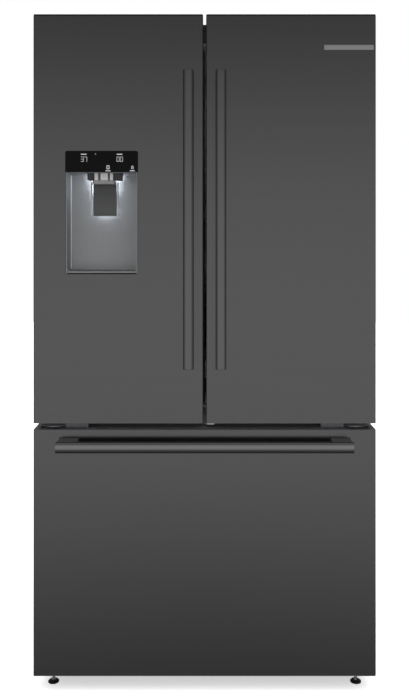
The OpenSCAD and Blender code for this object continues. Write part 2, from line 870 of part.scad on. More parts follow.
module freezer_bin() color(clear) {
    x = mouth_x - 3 * (slide_t + slide_gap);
    top = slide_z + slide_h - 6;
    tub([-x, -238, bin_floor], [x, 130, top + 3], 4);
    both_sides() block([x, -238, top], [x + slide_t, 130, top + 3]);
    both_sides() block([x - 25, -238, top + 3], [x - 12, 130, tray_z - 0.5]);
}

module slide_middles() color(zinc) both_sides() slide_member(1, slide_y0 + 4, slide_len);

module freezer_tray() color(clear) tub([-372, -236, tray_z], [372, 118, 470], 4);

cabinet_shell();
rear_panel();
cabinet_foam();
fresh_food_liner();
freezer_liner();
top_cover();
door_hinges();
base_frame();
compressor();
condenser();
machine_cover();
evaporator();
evaporator_cover();
air_duct();
glass_shelves();
shelf_frames();
filter_housing();
freezer_rails();
condenser_fan();
evaporator_fan();
water_filter();
left_foot();
right_foot();
left_roller();
right_roller();
left_crisper();
right_crisper();
chiller_drawer();
left_door_skin();
left_door_core();
left_door_liner();
left_door_gasket();
left_door_handle();
dispenser_housing();
control_panel();
ice_nozzle();
ice_box();
ice_bucket();
left_door_bins();
dispenser_paddle();
chute_flap();
ice_auger();
centre_flap();
right_door_skin();
right_door_core();
right_door_liner();
right_door_gasket();
right_door_handle();
badge_plate();
right_door_bins();
dairy_lid();
drawer_skin();
drawer_core();
drawer_liner();
drawer_gasket();
drawer_handle();
drawer_runners();
freezer_bin();
slide_middles();
freezer_tray();
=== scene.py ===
"""Looks of the french door refrigerator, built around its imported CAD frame.

Lengths in this script are millimetres, and piece() turns each mesh into metres.
The doors face -Y, +Z is up, and the origin is on the floor under the middle.
"""
import json
import math

import bmesh
import bpy
from mathutils import Matrix, Vector, geometry


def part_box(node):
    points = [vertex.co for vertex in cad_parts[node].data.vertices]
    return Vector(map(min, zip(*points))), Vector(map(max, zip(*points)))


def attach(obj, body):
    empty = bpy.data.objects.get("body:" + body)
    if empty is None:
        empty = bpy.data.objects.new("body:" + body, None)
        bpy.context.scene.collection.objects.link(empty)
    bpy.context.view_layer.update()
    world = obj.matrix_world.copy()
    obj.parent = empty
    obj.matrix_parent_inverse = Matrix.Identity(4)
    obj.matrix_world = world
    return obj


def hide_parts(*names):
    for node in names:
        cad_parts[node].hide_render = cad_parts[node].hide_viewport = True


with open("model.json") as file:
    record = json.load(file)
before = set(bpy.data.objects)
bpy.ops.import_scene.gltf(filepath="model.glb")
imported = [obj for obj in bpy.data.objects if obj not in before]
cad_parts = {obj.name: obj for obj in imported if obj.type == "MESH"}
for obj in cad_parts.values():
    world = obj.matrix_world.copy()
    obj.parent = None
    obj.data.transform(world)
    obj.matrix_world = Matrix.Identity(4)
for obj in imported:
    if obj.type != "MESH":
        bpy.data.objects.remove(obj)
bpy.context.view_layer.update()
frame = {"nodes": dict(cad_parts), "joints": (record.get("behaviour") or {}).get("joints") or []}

MM = 0.001
SIDES = (-1, 1)


# ---- Places, read from the frame ----

def node_box(name):
    """A CAD node's lowest and highest corners in millimetres."""
    lo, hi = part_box(name)
    return lo / MM, hi / MM


def pivot(joint_name):
    """A joint's place in millimetres."""
    joint = next(j for j in frame["joints"] if j["name"] == joint_name)
    return Vector(joint["pos_m"]) / MM


# ---- Mesh tools ----

def put_xz(u, v, w):
    """Places an outline drawn in XZ, with w along Y."""
    return u, w, v


def put_yz(u, v, w):
    """Places an outline drawn in YZ, with w along X."""
    return w, u, v


def put_xy(u, v, w):
    """Places an outline drawn in XY, with w along Z."""
    return u, v, w


def block(bm, lo, hi, r=0.0, seg=2):
    """A box between two corners, with its edges rounded by r."""
    lo, hi = Vector(lo), Vector(hi)
    place = Matrix.Translation((lo + hi) / 2) @ Matrix.Diagonal((*(hi - lo), 1))
    made = bmesh.ops.create_cube(bm, size=1, matrix=place)
    if r > 0:
        edges = list({e for v in made["verts"] for e in v.link_edges})
        bmesh.ops.bevel(bm, geom=edges, offset=r, segments=seg, profile=0.5, affect="EDGES")


def side_block(bm, side, lo, hi, r=0.0, seg=2):
    """A block given for the right side, mirrored to the left where side is -1."""
    x0, x1 = sorted((side * lo[0], side * hi[0]))
    block(bm, (x0, *lo[1:]), (x1, *hi[1:]), r, seg)


def round_rect(x0, y0, x1, y1, r, seg=5):
    """The outline of a rectangle with round corners."""
    corners = ((x1 - r, y1 - r), (x0 + r, y1 - r), (x0 + r, y0 + r), (x1 - r, y0 + r))
    points = []
    for quarter, (cx, cy) in enumerate(corners):
        for i in range(seg + 1):
            t = math.pi / 2 * (quarter + i / seg)
            points.append((cx + r * math.cos(t), cy + r * math.sin(t)))
    return points


def face_rect(lo, hi, inset, r, seg=5):
    """The outline of a box's front, drawn in by inset, with round corners."""
    return round_rect(lo.x + inset, lo.z + inset, hi.x - inset, hi.z - inset, r, seg)


def circle(cx, cy, r, seg=24):
    """The outline of a circle."""
    turns = [2 * math.pi * i / seg for i in range(seg)]
    return [(cx + r * math.cos(t), cy + r * math.sin(t)) for t in turns]


def loft(bm, rings, caps=True, around=True, closed=False):
    """A skin over rings of points. around joins each ring's ends, closed joins the last to the first."""
    rows = [[bm.verts.new(p) for p in ring] for ring in rings]
    pairs = list(zip(rows, rows[1:]))
    if closed:
        pairs.append((rows[-1], rows[0]))
    count = len(rows[0])
    for a, b in pairs:
        for i in range(count if around else count - 1):
            j = (i + 1) % count
            bm.faces.new((a[i], a[j], b[j], b[i]))
    if caps and not closed:
        bm.faces.new(rows[0][::-1])
        bm.faces.new(rows[-1])
    return rows


def fill(loops):
    """The triangles across an outline with holes, as numbers of its points."""
    return geometry.tessellate_polygon([[Vector((u, v, 0)) for u, v in loop] for loop in loops])


def prism(bm, loops, put, a, b, r=0.0, seg=2):
    """An outline with holes, extruded from a to b along the axis that put leaves over."""
    flat = [point for loop in loops for point in loop]
    ends = [[bm.verts.new(put(u, v, w)) for u, v in flat] for w in (a, b)]
    caps = fill(loops) if len(loops) > 1 else [range(len(flat))]
    for verts in ends:
        for cap in caps:
            bm.faces.new([verts[i] for i in cap])
    rim, start = [], 0
    for loop in loops:
        for i in range(len(loop)):
            j = start + (i + 1) % len(loop)
            i += start
            bm.faces.new((ends[0][i], ends[0][j], ends[1][j], ends[1][i]))
            rim += [bm.edges.get((verts[i], verts[j])) for verts in ends]
        start += len(loop)
    if r > 0:
        bmesh.ops.bevel(bm, geom=rim, offset=r, segments=seg, profile=0.5, affect="EDGES")


def lathe(bm, profile, origin, axis, seg=28, hollow=False):
    """A turned shape. profile lists (distance along the axis, radius), and hollow closes it on itself."""
    w = Vector(axis).normalized()
    u = w.orthogonal().normalized()
    v = w.cross(u)
    turns = [2 * math.pi * i / seg for i in range(seg)]
    rings = [[Vector(origin) + w * along + (u * math.cos(t) + v * math.sin(t)) * radius for t in turns]
             for along, radius in profile]
    loft(bm, rings, caps=not hollow, closed=hollow)


def rod(bm, a, b, r, edge=0.4, seg=20):
    """A round bar from a to b with softened ends."""
    a, b = Vector(a), Vector(b)
    length = (b - a).length
    lathe(bm, [(0, r - edge), (edge, r), (length - edge, r), (length, r - edge)], a, b - a, seg)


def frame_sweep(bm, lo, hi, r, profile):
    """A closed profile of (inset, y) points swept round the front of a box."""
    rings = []
    for inset, y in profile:
        outline = face_rect(lo, hi, inset, max(r - inset, 0.6), 4)
        rings.append([(x, y, z) for x, z in outline])
    loft(bm, rings, closed=True)


def tub(bm, lo, hi, wall, r=10, draft=3.0, rim=2.0):
    """An open box with round corners, walls that lean out, and a rolled rim."""
    def ring(grow, z):
        outline = round_rect(lo[0] - grow, lo[1] - grow, hi[0] + grow, hi[1] + grow, max(r + grow, 1.0))
        return [(x, y, z) for x, y in outline]

    bottom, top = lo[2], hi[2]
    foot_in = -draft - rim
    outside = [(foot_in - 3, bottom), (foot_in - 0.8, bottom + 0.8), (foot_in, bottom + 3), (-rim, top - 4)]
    lip = [(0, top - 4), (0, top - 0.6), (-0.6, top), (-rim - wall + 0.6, top), (-rim - wall, top - 0.6)]
    inside = [(foot_in - wall, bottom + wall + 3), (foot_in - wall - 3, bottom + wall)]
    loft(bm, [ring(grow, z) for grow, z in outside + lip + inside])


def screw(bm, place, axis, r=4.0, rise=2.2):
    """A screw with a domed head and a recess."""
    lathe(bm, [(0, r), (rise * 0.4, r), (rise * 0.85, r * 0.8), (rise, r * 0.45), (rise * 0.4, r * 0.25)],
          place, axis, 16)


def piece(name, bm, finish, body, slot, *stands_for, sharp=38, thickness=0.0):
    """Turns a mesh in millimetres into a piece with a finish from MATS, riding on a body."""
    bmesh.ops.recalc_face_normals(bm, faces=bm.faces)
    bmesh.ops.scale(bm, vec=(MM,) * 3, verts=bm.verts)
    for face in bm.faces:
        face.smooth = True
    for edge in bm.edges:
        edge.smooth = len(edge.link_faces) == 2 and edge.calc_face_angle(0) < math.radians(sharp)
    mesh = bpy.data.meshes.new(name)
    bm.to_mesh(mesh)
    bm.free()
    mesh.materials.append(MATS[finish])
    obj = bpy.data.objects.new(name, mesh)
    bpy.context.scene.collection.objects.link(obj)
    if thickness:
        shell = obj.modifiers.new("thickness", "SOLIDIFY")
        shell.thickness = abs(thickness) * MM
        shell.offset = -1 if thickness > 0 else 1
    weighted = obj.modifiers.new("even_shading", "WEIGHTED_NORMAL")
    weighted.keep_sharp = True
    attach(obj, body)
    if stands_for:
        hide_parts(*stands_for)
    return obj


# ---- Materials ----

# Where most of the noise's values lie
NOISE_SPAN = (0.3, 0.7)
WHITE = (1, 1, 1, 1)


def add_node(tree, kind, values=None, **settings):
    """A shader node with values on its sockets and its own settings."""
    node = tree.nodes.new("ShaderNode" + kind)
    for setting, value in settings.items():
        setattr(node, setting, value)
    for socket, value in (values or {}).items():
        node.inputs[socket].default_value = value
    return node


def link(start, output, end, socket):
    """Joins one node's output to another's socket."""
    start.id_data.links.new(start.outputs[output], end.inputs[socket])


def shade(name, colour, rough, metal=0.0, vary=0.06, grain=40, rough_vary=0.05, bump=0.0, bump_grain=None,
          **sockets):
    """A procedural finish: noise in the colour and the roughness, and bump where it is asked for."""
    mat = bpy.data.materials.new(name)
    mat.use_nodes = True
    tree = mat.node_tree
    bsdf = tree.nodes["Principled BSDF"]
    place = add_node(tree, "TexCoord")

    def noise(scale):
        scales = scale if isinstance(scale, tuple) else (scale,) * 3
        stretch = add_node(tree, "Mapping", {"Scale": scales})
        link(place, "Object", stretch, "Vector")
        texture = add_node(tree, "TexNoise", {"Scale": 1.0, "Detail": 3.0})
        link(stretch, "Vector", texture, "Vector")
        return texture

    field = noise(grain)
    tint = add_node(tree, "ValToRGB")
    for element, where, gain in zip(tint.color_ramp.elements, NOISE_SPAN, (1 - vary, 1 + vary)):
        element.position = where
        element.color = [min(c * gain, 1.0) for c in colour] + [1]
    link(field, "Fac", tint, "Fac")
    link(tint, "Color", bsdf, "Base Color")
    spread = add_node(tree, "MapRange", {"From Min": NOISE_SPAN[0], "From Max": NOISE_SPAN[1],
                                         "To Min": max(rough - rough_vary, 0.02),
                                         "To Max": rough + rough_vary})
    link(field, "Fac", spread, "Value")
    link(spread, "Result", bsdf, "Roughness")
    if bump:
        relief = add_node(tree, "Bump", {"Strength": 0.6, "Distance": bump * MM})
        link(noise(bump_grain or grain), "Fac", relief, "Height")
        link(relief, "Normal", bsdf, "Normal")
    bsdf.inputs["Metallic"].default_value = metal
    for socket, value in sockets.items():
        bsdf.inputs[socket.replace("_", " ")].default_value = value
    return mat


def grey(value, blue=0.0):
    """A neutral colour, or one tinted slightly blue."""
    return value * (1 - blue), value, value * (1 + blue)


BRUSHED = (2.5, 420, 900)
MATS = {
    "door": shade("black_stainless", grey(0.103), 0.21, 1.0, 0.05, BRUSHED, 0.03, Anisotropic=0.3),
    "bar": shade("handle_steel", grey(0.122), 0.24, 1.0, 0.05, (300, 300, 4), 0.03, Anisotropic=0.2),
    # The drawer's bar is the same steel as the upright bars, made lighter as a painted highlight along its
    # crown
    "drawer_bar": shade("drawer_handle_painted_highlight", grey(0.185), 0.24, 1.0, 0.05, (4, 300, 300), 0.03,
                        Anisotropic=0.2),
    "post": shade("post_steel", grey(0.105), 0.4, 0.35, 0.06, 200, 0.04),
    "cabinet": shade("textured_paint", grey(0.045, 0.02), 0.46, 0.0, 0.08, 9, 0.05, 0.12,
                     700, Coat_Weight=0.15),
    "zinc": shade("galvanised_sheet", grey(0.50, 0.02), 0.38, 0.9, 0.14, 30, 0.1, 0.05),
    "steel": shade("bright_steel", grey(0.62), 0.25, 1.0, 0.06, 200, 0.06),
    "foam": shade("foam", (0.80, 0.68, 0.40), 0.9, 0.0, 0.12, 60, 0.05, 0.4, 500),
    "white": shade("liner_plastic", grey(0.80, 0.015), 0.30, 0.0, 0.015, 6, 0.04, 0.03,
                   350, Coat_Weight=0.1),
    "satin_white": shade("trim_plastic", grey(0.72, 0.01), 0.42, 0.0, 0.02, 30, 0.05, 0.02),
    "clear": shade("clear_plastic", grey(0.90, 0.02), 0.08, 0.0, 0.02, 12, 0.03,
                   Transmission_Weight=0.92, IOR=1.49),
    "frost": shade("frosted_plastic", grey(0.86, 0.03), 0.30, 0.0, 0.03, 20, 0.06, 0.015,
                   500, Transmission_Weight=0.75, IOR=1.45),
    "glass": shade("shelf_glass", (0.86, 0.95, 0.92), 0.03, 0.0, 0.01, 5, 0.01,
                   Transmission_Weight=0.96, IOR=1.52),
    "rubber": shade("gasket_rubber", grey(0.085), 0.62, 0.0, 0.1, 60, 0.08, 0.06, 300),
    "black": shade("black_plastic", grey(0.014), 0.45, 0.0, 0.15, 80, 0.08, 0.04, 600),
    "edge": shade("end_cap_plastic", (0.017, 0.017, 0.024), 0.38, 0.0, 0.12, 90, 0.06, 0.03,
                  600, Specular_IOR_Level=0.15),
    "cap": shade("grey_cap_plastic", (0.185, 0.19, 0.205), 0.5, 0.0, 0.08, 90, 0.06, 0.03,
                 600),
    "flap": shade("flap_plastic", grey(0.08), 0.5, 0.0, 0.1, 60, 0.06, 0.03, 500),
    "rail": shade("rail_paint", (0.32, 0.32, 0.325), 0.5, 0.0, 0.06, 90, 0.06, 0.03,
                  600, Specular_IOR_Level=0.3),
    "cap_dark": shade("dark_cap_plastic", (0.10, 0.10, 0.11), 0.5, 0.0, 0.08, 90, 0.06, 0.03,
                      600, Specular_IOR_Level=0.3),
    "cap_light": shade("light_cap_plastic", (0.46, 0.46, 0.48), 0.5, 0.0, 0.05, 90, 0.06, 0.03,
                       600),
    # The pale top of the black hinge leaf is a painted reflection of the bright studio at a grazing angle
    "leaf": shade("leaf_painted_reflection", grey(0.80), 0.45, 0.0, 0.05, 90, 0.06, 0.02),
    "carrier": shade("carrier_plastic", grey(0.045), 0.45, 0.0, 0.08, 150, 0.05, 0.03),
    "gloss": shade("black_glass", grey(0.0065), 0.12, 0.0, 0.2, 15, 0.03, Specular_IOR_Level=0.06),
    "silver": shade("silver_plastic", (0.30, 0.306, 0.317), 0.36, 0.3, 0.03, 160, 0.04, 0.02,
                    900, Coat_Weight=0.15),
    "nozzle": shade("nozzle_plastic", grey(0.92), 0.40, 0.1, 0.03, 120, 0.05, 0.02),
    "ring": shade("ring_plastic", grey(0.36), 0.38, 0.1, 0.03, 120, 0.05, 0.02),
    "paddle": shade("paddle_plastic", grey(0.108, 0.01), 0.42, 0.1, 0.06, 150, 0.05, 0.03,
                    700),
    "badge": shade("badge_metal", grey(0.40), 0.34, 1.0, 0.05, (4, 400, 900), 0.05),
    "coil": shade("coil_enamel", grey(0.02), 0.35, 0.2, 0.1, 40, 0.08, 0.05),
    "alu": shade("aluminium", grey(0.70), 0.35, 1.0, 0.06, 80, 0.08),
}


def glow(name, colour, strength, base=0.8):
    """A lamp's lens or a lit mark."""
    mat = shade(name, [base * c for c in colour], 0.4, 0.0, 0.03, 90)
    bsdf = mat.node_tree.nodes["Principled BSDF"]
    bsdf.inputs["Emission Color"].default_value = (*colour, 1)
    bsdf.inputs["Emission Strength"].default_value = strength
    return mat


MATS["lamp"] = glow("dispenser_lamp", (0.88, 0.94, 1.0), 28.0)
MATS["soft_lamp"] = glow("paddle_lamp", (0.86, 0.95, 1.0), 16.0)
MATS["led"] = glow("interior_lamp", (1.0, 0.98, 0.94), 2.2)
MATS["mark"] = glow("display_mark", (0.95, 0.97, 1.0), 0.5, 0.2)


# ---- Camera, floor and studio ----

def set_camera():
    """A level camera in front, shifted down to hold the whole height."""
    lens = bpy.data.cameras.new("camera")
    lens.sensor_width = 36
    lens.lens = 40.9
    lens.shift_x = -0.0002
    lens.shift_y = -0.1643
    camera = bpy.data.objects.new("camera", lens)
    camera.location = (0, -2.435, 1.207)
    camera.rotation_euler = (math.pi / 2, 0, 0)
    bpy.context.scene.collection.objects.link(camera)
    bpy.context.scene.camera = camera
    bpy.context.scene.view_settings.view_transform = "Standard"


# Brightness of the studio at each elevation, in degrees from straight down to straight up
STUDIO = ((-90, 0.08), (-33, 0.13), (-29, 0.27), (-26, 0.42), (-20, 0.73), (-15, 0.94), (-10, 0.95),
          (-1, 0.95), (4, 0.86), (8, 0.70), (12, 0.51), (16, 0.31), (24, 0.22), (40, 0.32), (90, 0.5))
BRIGHTEST = max(level for _, level in STUDIO)


def set_studio():
    """A white backdrop for the camera, a soft gradient for reflections, and soft light from above."""
    world = bpy.data.worlds.new("studio")
    bpy.context.scene.world = world
    world.use_nodes = True
    tree = world.node_tree
    tree.nodes.clear()
    place = add_node(tree, "TexCoord")
    parts = add_node(tree, "SeparateXYZ")
    link(place, "Generated", parts, "Vector")
    # Gradient by elevation, weaker towards the sides
    height = add_node(tree, "MapRange", {"From Min": -1})
    link(parts, "Z", height, "Value")
    ramp = add_node(tree, "ValToRGB")
    stops = ramp.color_ramp.elements
    while len(stops) > 1:
        stops.remove(stops[-1])
    for index, (angle, level) in enumerate(STUDIO):
        where = (math.sin(math.radians(angle)) + 1) / 2
        stop = stops[0] if index == 0 else stops.new(where)
        stop.position = where
        stop.color = [level / BRIGHTEST] * 3 + [1]
    link(height, "Result", ramp, "Fac")
    sideways = add_node(tree, "Math", operation="ABSOLUTE")
    link(parts, "X", sideways, 0)
    falloff = add_node(tree, "MapRange", {"From Min": 0.25, "To Min": BRIGHTEST, "To Max": BRIGHTEST * 0.42},
                       interpolation_type="SMOOTHSTEP")
    link(sideways, "Value", falloff, "Value")
    light = add_node(tree, "Background")
    link(ramp, "Color", light, "Color")
    link(falloff, "Result", light, "Strength")
    # Light from above that only diffuse rays pick up
    seen = add_node(tree, "LightPath")
    rise = add_node(tree, "MapRange", {"From Min": 0.40, "From Max": 0.70, "To Max": 1.35},
                    interpolation_type="SMOOTHSTEP")
    link(parts, "Z", rise, "Value")
    soft_top = add_node(tree, "Math", operation="MULTIPLY")
    link(rise, "Result", soft_top, 0)
    link(seen, "Is Diffuse Ray", soft_top, 1)
    overhead = add_node(tree, "Background", {"Color": WHITE})
    link(soft_top, "Value", overhead, "Strength")
    room = add_node(tree, "AddShader")
    link(light, "Background", room, 0)
    link(overhead, "Background", room, 1)
    # White behind the object for the camera
    backdrop = add_node(tree, "Background", {"Color": WHITE})
    pick = add_node(tree, "MixShader")
    link(seen, "Is Camera Ray", pick, "Fac")
    link(room, "Shader", pick, 1)
    link(backdrop, "Background", pick, 2)
    end = add_node(tree, "OutputWorld")
    link(pick, "Shader", end, "Surface")


def set_floor():
    """A pale floor that only the camera sees, so its shadow stays faint and the doors don't mirror it."""
    bm = bmesh.new()
    bmesh.ops.create_circle(bm, cap_ends=True, radius=9, segments=64)
    mesh = bpy.data.meshes.new("floor")
    bm.to_mesh(mesh)
    bm.free()
    mat = shade("pale_floor", grey(0.88), 0.8, 0.0, 0.01, 2)
    bsdf = mat.node_tree.nodes["Principled BSDF"]
    bsdf.inputs["Specular IOR Level"].default_value = 0.0
    bsdf.inputs["Emission Color"].default_value = WHITE
    bsdf.inputs["Emission Strength"].default_value = 0.55
    mesh.materials.append(mat)
    floor = bpy.data.objects.new("floor", mesh)
    bpy.context.scene.collection.objects.link(floor)
    floor.visible_glossy = False
    floor.visible_diffuse = False


set_camera()
set_studio()
set_floor()

# ---- Shared sizes ----

DOOR = {"left_door": node_box("left_door_skin"), "right_door": node_box("right_door_skin"),
        "freezer_drawer": node_box("drawer_skin")}
FRONT = DOOR["left_door"][0].y
SKIN_BACK = DOOR["left_door"][1].y
# Radius of the folded edge of each sheet
EDGE = 3.0
# Thickness of the bottom and top cap of each door
CAPS = {"left_door": (0.6, 4.4), "right_door": (0.6, 4.4), "freezer_drawer": (1.5, 1.0)}
DISP_LO, DISP_HI = node_box("dispenser_housing")
HINGE = pivot("right_door_hinge")
# The notch for the hinge arm: inwards from the pin, back from the front, and down from the top
NOTCH_X = 16
NOTCH_Y = 18
NOTCH_Z = 28


# ---- Doors and drawer front ----

def front_skin(body, node, hinge_side, hole=None):
    """The steel sheet of a door: a front with folded round edges, sides, and a notch for the hinge arm."""
    lo, hi = DOOR[body]
    z0, z1 = lo.z + CAPS[body][0], hi.z - CAPS[body][1]
    bm = bmesh.new()
    loops = [[(lo.x + EDGE, z0), (hi.x - EDGE, z0), (hi.x - EDGE, z1), (lo.x + EDGE, z1)]]
    if hole:
        loops.append(hole)
    flat = [point for loop in loops for point in loop]
    verts = [bm.verts.new((x, FRONT, z)) for x, z in flat]
    for triangle in fill(loops):
        bm.faces.new([verts[i] for i in triangle])
    for side, edge_x in zip(SIDES, (lo.x, hi.x)):
        turns = [math.pi / 2 * i / 6 for i in range(7)]
        bend = [(edge_x - side * EDGE * (1 - math.sin(t)), FRONT + EDGE * (1 - math.cos(t))) for t in turns]
        loft(bm, [[(x, y, z) for x, y in bend] for z in (z0, z1)], caps=False, around=False)
        outline = [(FRONT + EDGE, z0), (SKIN_BACK, z0), (SKIN_BACK, z1), (FRONT + EDGE, z1)]
        if side == hinge_side:
            notch_y, notch_z = FRONT + NOTCH_Y, hi.z - NOTCH_Z
            outline[2:3] = [(SKIN_BACK, notch_z), (notch_y, notch_z), (notch_y, z1)]
        bm.faces.new([bm.verts.new((edge_x, y, z)) for y, z in outline])
    bmesh.ops.remove_doubles(bm, verts=bm.verts, dist=0.001)
    bmesh.ops.recalc_face_normals(bm, faces=bm.faces)
    if max(bm.faces, key=lambda face: face.calc_area()).normal.y > 0:
        bmesh.ops.reverse_faces(bm, faces=bm.faces)
    piece(node + "_sheet", bm, "door", body, "black_steel", node, sharp=60, thickness=1.2)


def end_caps(body, hinge_side):
    """Plastic caps that close a door's top and bottom edges."""
    lo, hi = DOOR[body]
    low, high = CAPS[body]
    sunk = 0.25 if body == "freezer_drawer" else 0.0
    ends = (("bottom", lo.z, lo.z + low - 0.15, "cap"), ("top", hi.z - high + 0.15, hi.z - sunk, "edge"))
    for end, z0, z1, finish in ends:
        if end == "top" and body == "freezer_drawer":
            finish = "cap_dark"
        bm = bmesh.new()
        outline = round_rect(lo.x + 0.2, FRONT + 0.2, hi.x - 0.2, SKIN_BACK, EDGE)
        if end == "top" and hinge_side:
            inner = abs(HINGE.x) - NOTCH_X
            y = FRONT + NOTCH_Y
            edge = abs(hi.x if hinge_side > 0 else lo.x) - 0.2
            outline = [p for p in outline if not (p[1] > y and abs(p[0]) > inner)]
            step = [(hinge_side * edge, y), (hinge_side * inner, y), (hinge_side * inner, SKIN_BACK)]
            if hinge_side > 0:
                outline = step + outline
            else:
                split = next(i for i, p in enumerate(outline) if p[1] < y)
                outline = outline[:split] + step[::-1] + outline[split:]
        prism(bm, [outline], put_xy, z0, z1, (z1 - z0) * 0.3)
        piece(f"{body}_{end}_cap", bm, finish, body, "black_plastic")


def drawer_ledge():
    """The pale inner part of the drawer's top cap."""
    lo, hi = DOOR["freezer_drawer"]
    bm = bmesh.new()
    block(bm, (lo.x + 24, FRONT + 16, hi.z - 0.5), (hi.x - 24, SKIN_BACK - 0.5, hi.z), 0.12)
    piece("drawer_ledge", bm, "cap_light", "freezer_drawer", "black_plastic")


def notch_pocket(body, side):
    """Plastic walls inside the notch that clears the hinge arm."""
    hi = DOOR[body][1]
    inner, outer = abs(HINGE.x) - NOTCH_X, max(abs(hi.x), abs(DOOR[body][0].x)) - 0.3
    y, z = FRONT + NOTCH_Y, hi.z - NOTCH_Z
    bm = bmesh.new()
    wall = 0.5
    side_block(bm, side, (inner, y, z + 0.02), (outer, SKIN_BACK, z + wall), 0.15, 1)
    side_block(bm, side, (inner, y, z + 0.02), (inner + wall, SKIN_BACK, hi.z), 0.15, 1)
    side_block(bm, side, (inner, y, z + 0.02), (outer, y + wall, hi.z), 0.15, 1)
    piece(body + "_notch_pocket", bm, "edge", body, "black_plastic")


front_skin("left_door", "left_door_skin", -1, face_rect(DISP_LO, DISP_HI, 0, 6))
front_skin("right_door", "right_door_skin", 1)
front_skin("freezer_drawer", "drawer_skin", 0)
end_caps("left_door", -1)
end_caps("right_door", 1)
end_caps("freezer_drawer", 0)
drawer_ledge()
notch_pocket("left_door", -1)
notch_pocket("right_door", 1)


# ---- Handles ----

# Length of a post along its bar
POST = 52


def bar_section(width, depth, edge, crown=40.0, back=3.0, steps=10):
    """Crowned bar section with falling sides, as (across, depth from the front) points."""
    half = width / 2
    reach = half - edge * 0.8
    crest = []
    for i in range(steps + 1):
        across = -reach + 2 * reach * i / steps
        crest.append((across, crown - math.sqrt(crown ** 2 - across ** 2)))
    sag = crest[0][1]
    shoulder = []
    for i in range(1, 6):
        t = math.pi / 2 * i / 5
        shoulder.append((reach + (half - reach) * math.sin(t), sag + 0.5 + edge * (1 - math.cos(t))))
    corners = []
    for cx, start in ((half - back, 0), (-half + back, 90)):
        for i in range(4):
            t = math.radians(start + 30 * i)
            corners.append((cx + back * math.cos(t), depth - back + back * math.sin(t)))
    return crest + shoulder + corners + [(-x, y) for x, y in reversed(shoulder)]


def handle(body, node, finish, upright):
    """A crowned bar on two posts, each post on a thin pad."""
    lo, hi = node_box(node)
    long_axis, wide_axis = (2, 0) if upright else (0, 2)
    start, end = lo[long_axis], hi[long_axis]
    low, high = lo[wide_axis], hi[wide_axis]
    width = high - low
    middle = (high + low) / 2
    if upright:
        web, post = (middle - 6, middle + 6), (middle - 10, middle + 10)
    else:
        web, post = (low + 2, high - 9), (low + 2, high - 1.4)

    def place(across, y, along):
        return (across, y, along) if upright else (along, y, across)

    section = bar_section(width, 13, 7.0 if upright else 3.5)
    rings = []
    for along, inset in ((start, 1.0), (start + 0.3, 0.3), (start + 1, 0), (end - 1, 0), (end - 0.3, 0.3),
                         (end, 1.0)):
        narrow, shallow = 1 - 2 * inset / width, 1 - inset / 10
        rings.append([place(middle + across * narrow, lo.y + (6 + (depth - 6) * shallow), along)
                      for across, depth in section])
    bm = bmesh.new()
    loft(bm, rings)
    bar = piece(node + "_bar", bm, finish, body, "black_steel", node)
    bar.visible_glossy = False
    # Narrower web behind the crowned face
    bm = bmesh.new()
    block(bm, place(web[0], lo.y + 12.4, start + 1.5), place(web[1], lo.y + 20, end - 1.5), 2, 3)
    piece(node + "_web", bm, "post", body, "black_steel")
    posts, pads = bmesh.new(), bmesh.new()
    for near in (start + 1, end - 1 - POST):
        far = near + POST
        block(posts, place(post[0], lo.y + 12, near), place(post[1], hi.y - 1.2, far), 2.5, 3)
        block(pads, place(post[0] - 0.8, hi.y - 1.6, near - 0.8), place(post[1] + 0.8, hi.y, far + 0.8), 0.7)
    posts = piece(node + "_posts", posts, "post", body, "black_steel")
    posts.visible_glossy = False
    piece(node + "_pads", pads, "black", body, "black_plastic")


handle("left_door", "left_door_handle", "bar", True)
handle("right_door", "right_door_handle", "bar", True)
# The drawer's bar takes the lighter finish, a painted highlight
handle("freezer_drawer", "drawer_handle", "drawer_bar", False)

# ---- Dispenser ----

PANEL_LO, PANEL_HI = node_box("control_panel")
NOZZLE_LO, NOZZLE_HI = node_box("ice_nozzle")
NOZZLE_X = (NOZZLE_LO.x + NOZZLE_HI.x) / 2
CAVE_FLOOR = DISP_LO.z + 8
SOFFIT = PANEL_LO.z - 2
CAVE_BACK = DISP_HI.y - 3
TRIM = 4.9
# Height of the ice chute's lower end
CHUTE_Z = 1352


def cave_plan(inset, corner=6.0, bow=16.0, steps=14):
    """The recess seen from above, from its left front edge round the back to its right front edge."""
    x0, x1 = DISP_LO.x + TRIM + inset, DISP_HI.x - TRIM - inset
    middle, half = (x0 + x1) / 2, (x1 - x0) / 2
    back = CAVE_BACK - inset
    turn = back - bow - corner
    left = [(x0, FRONT + 1), (x0, FRONT + 20), (x0, turn)]
    for i in range(1, 5):
        t = math.pi / 2 * i / 5
        left.append((x0 + corner * (1 - math.cos(t)), turn + corner * math.sin(t)))
    curve = []
    for i in range(steps + 1):
        share = -1 + 2 * i / steps
        across = middle + share * (half - corner)
        curve.append((across, back - bow * share * share))
    right = [(2 * middle - x, y) for x, y in reversed(left)]
    return left + curve + right


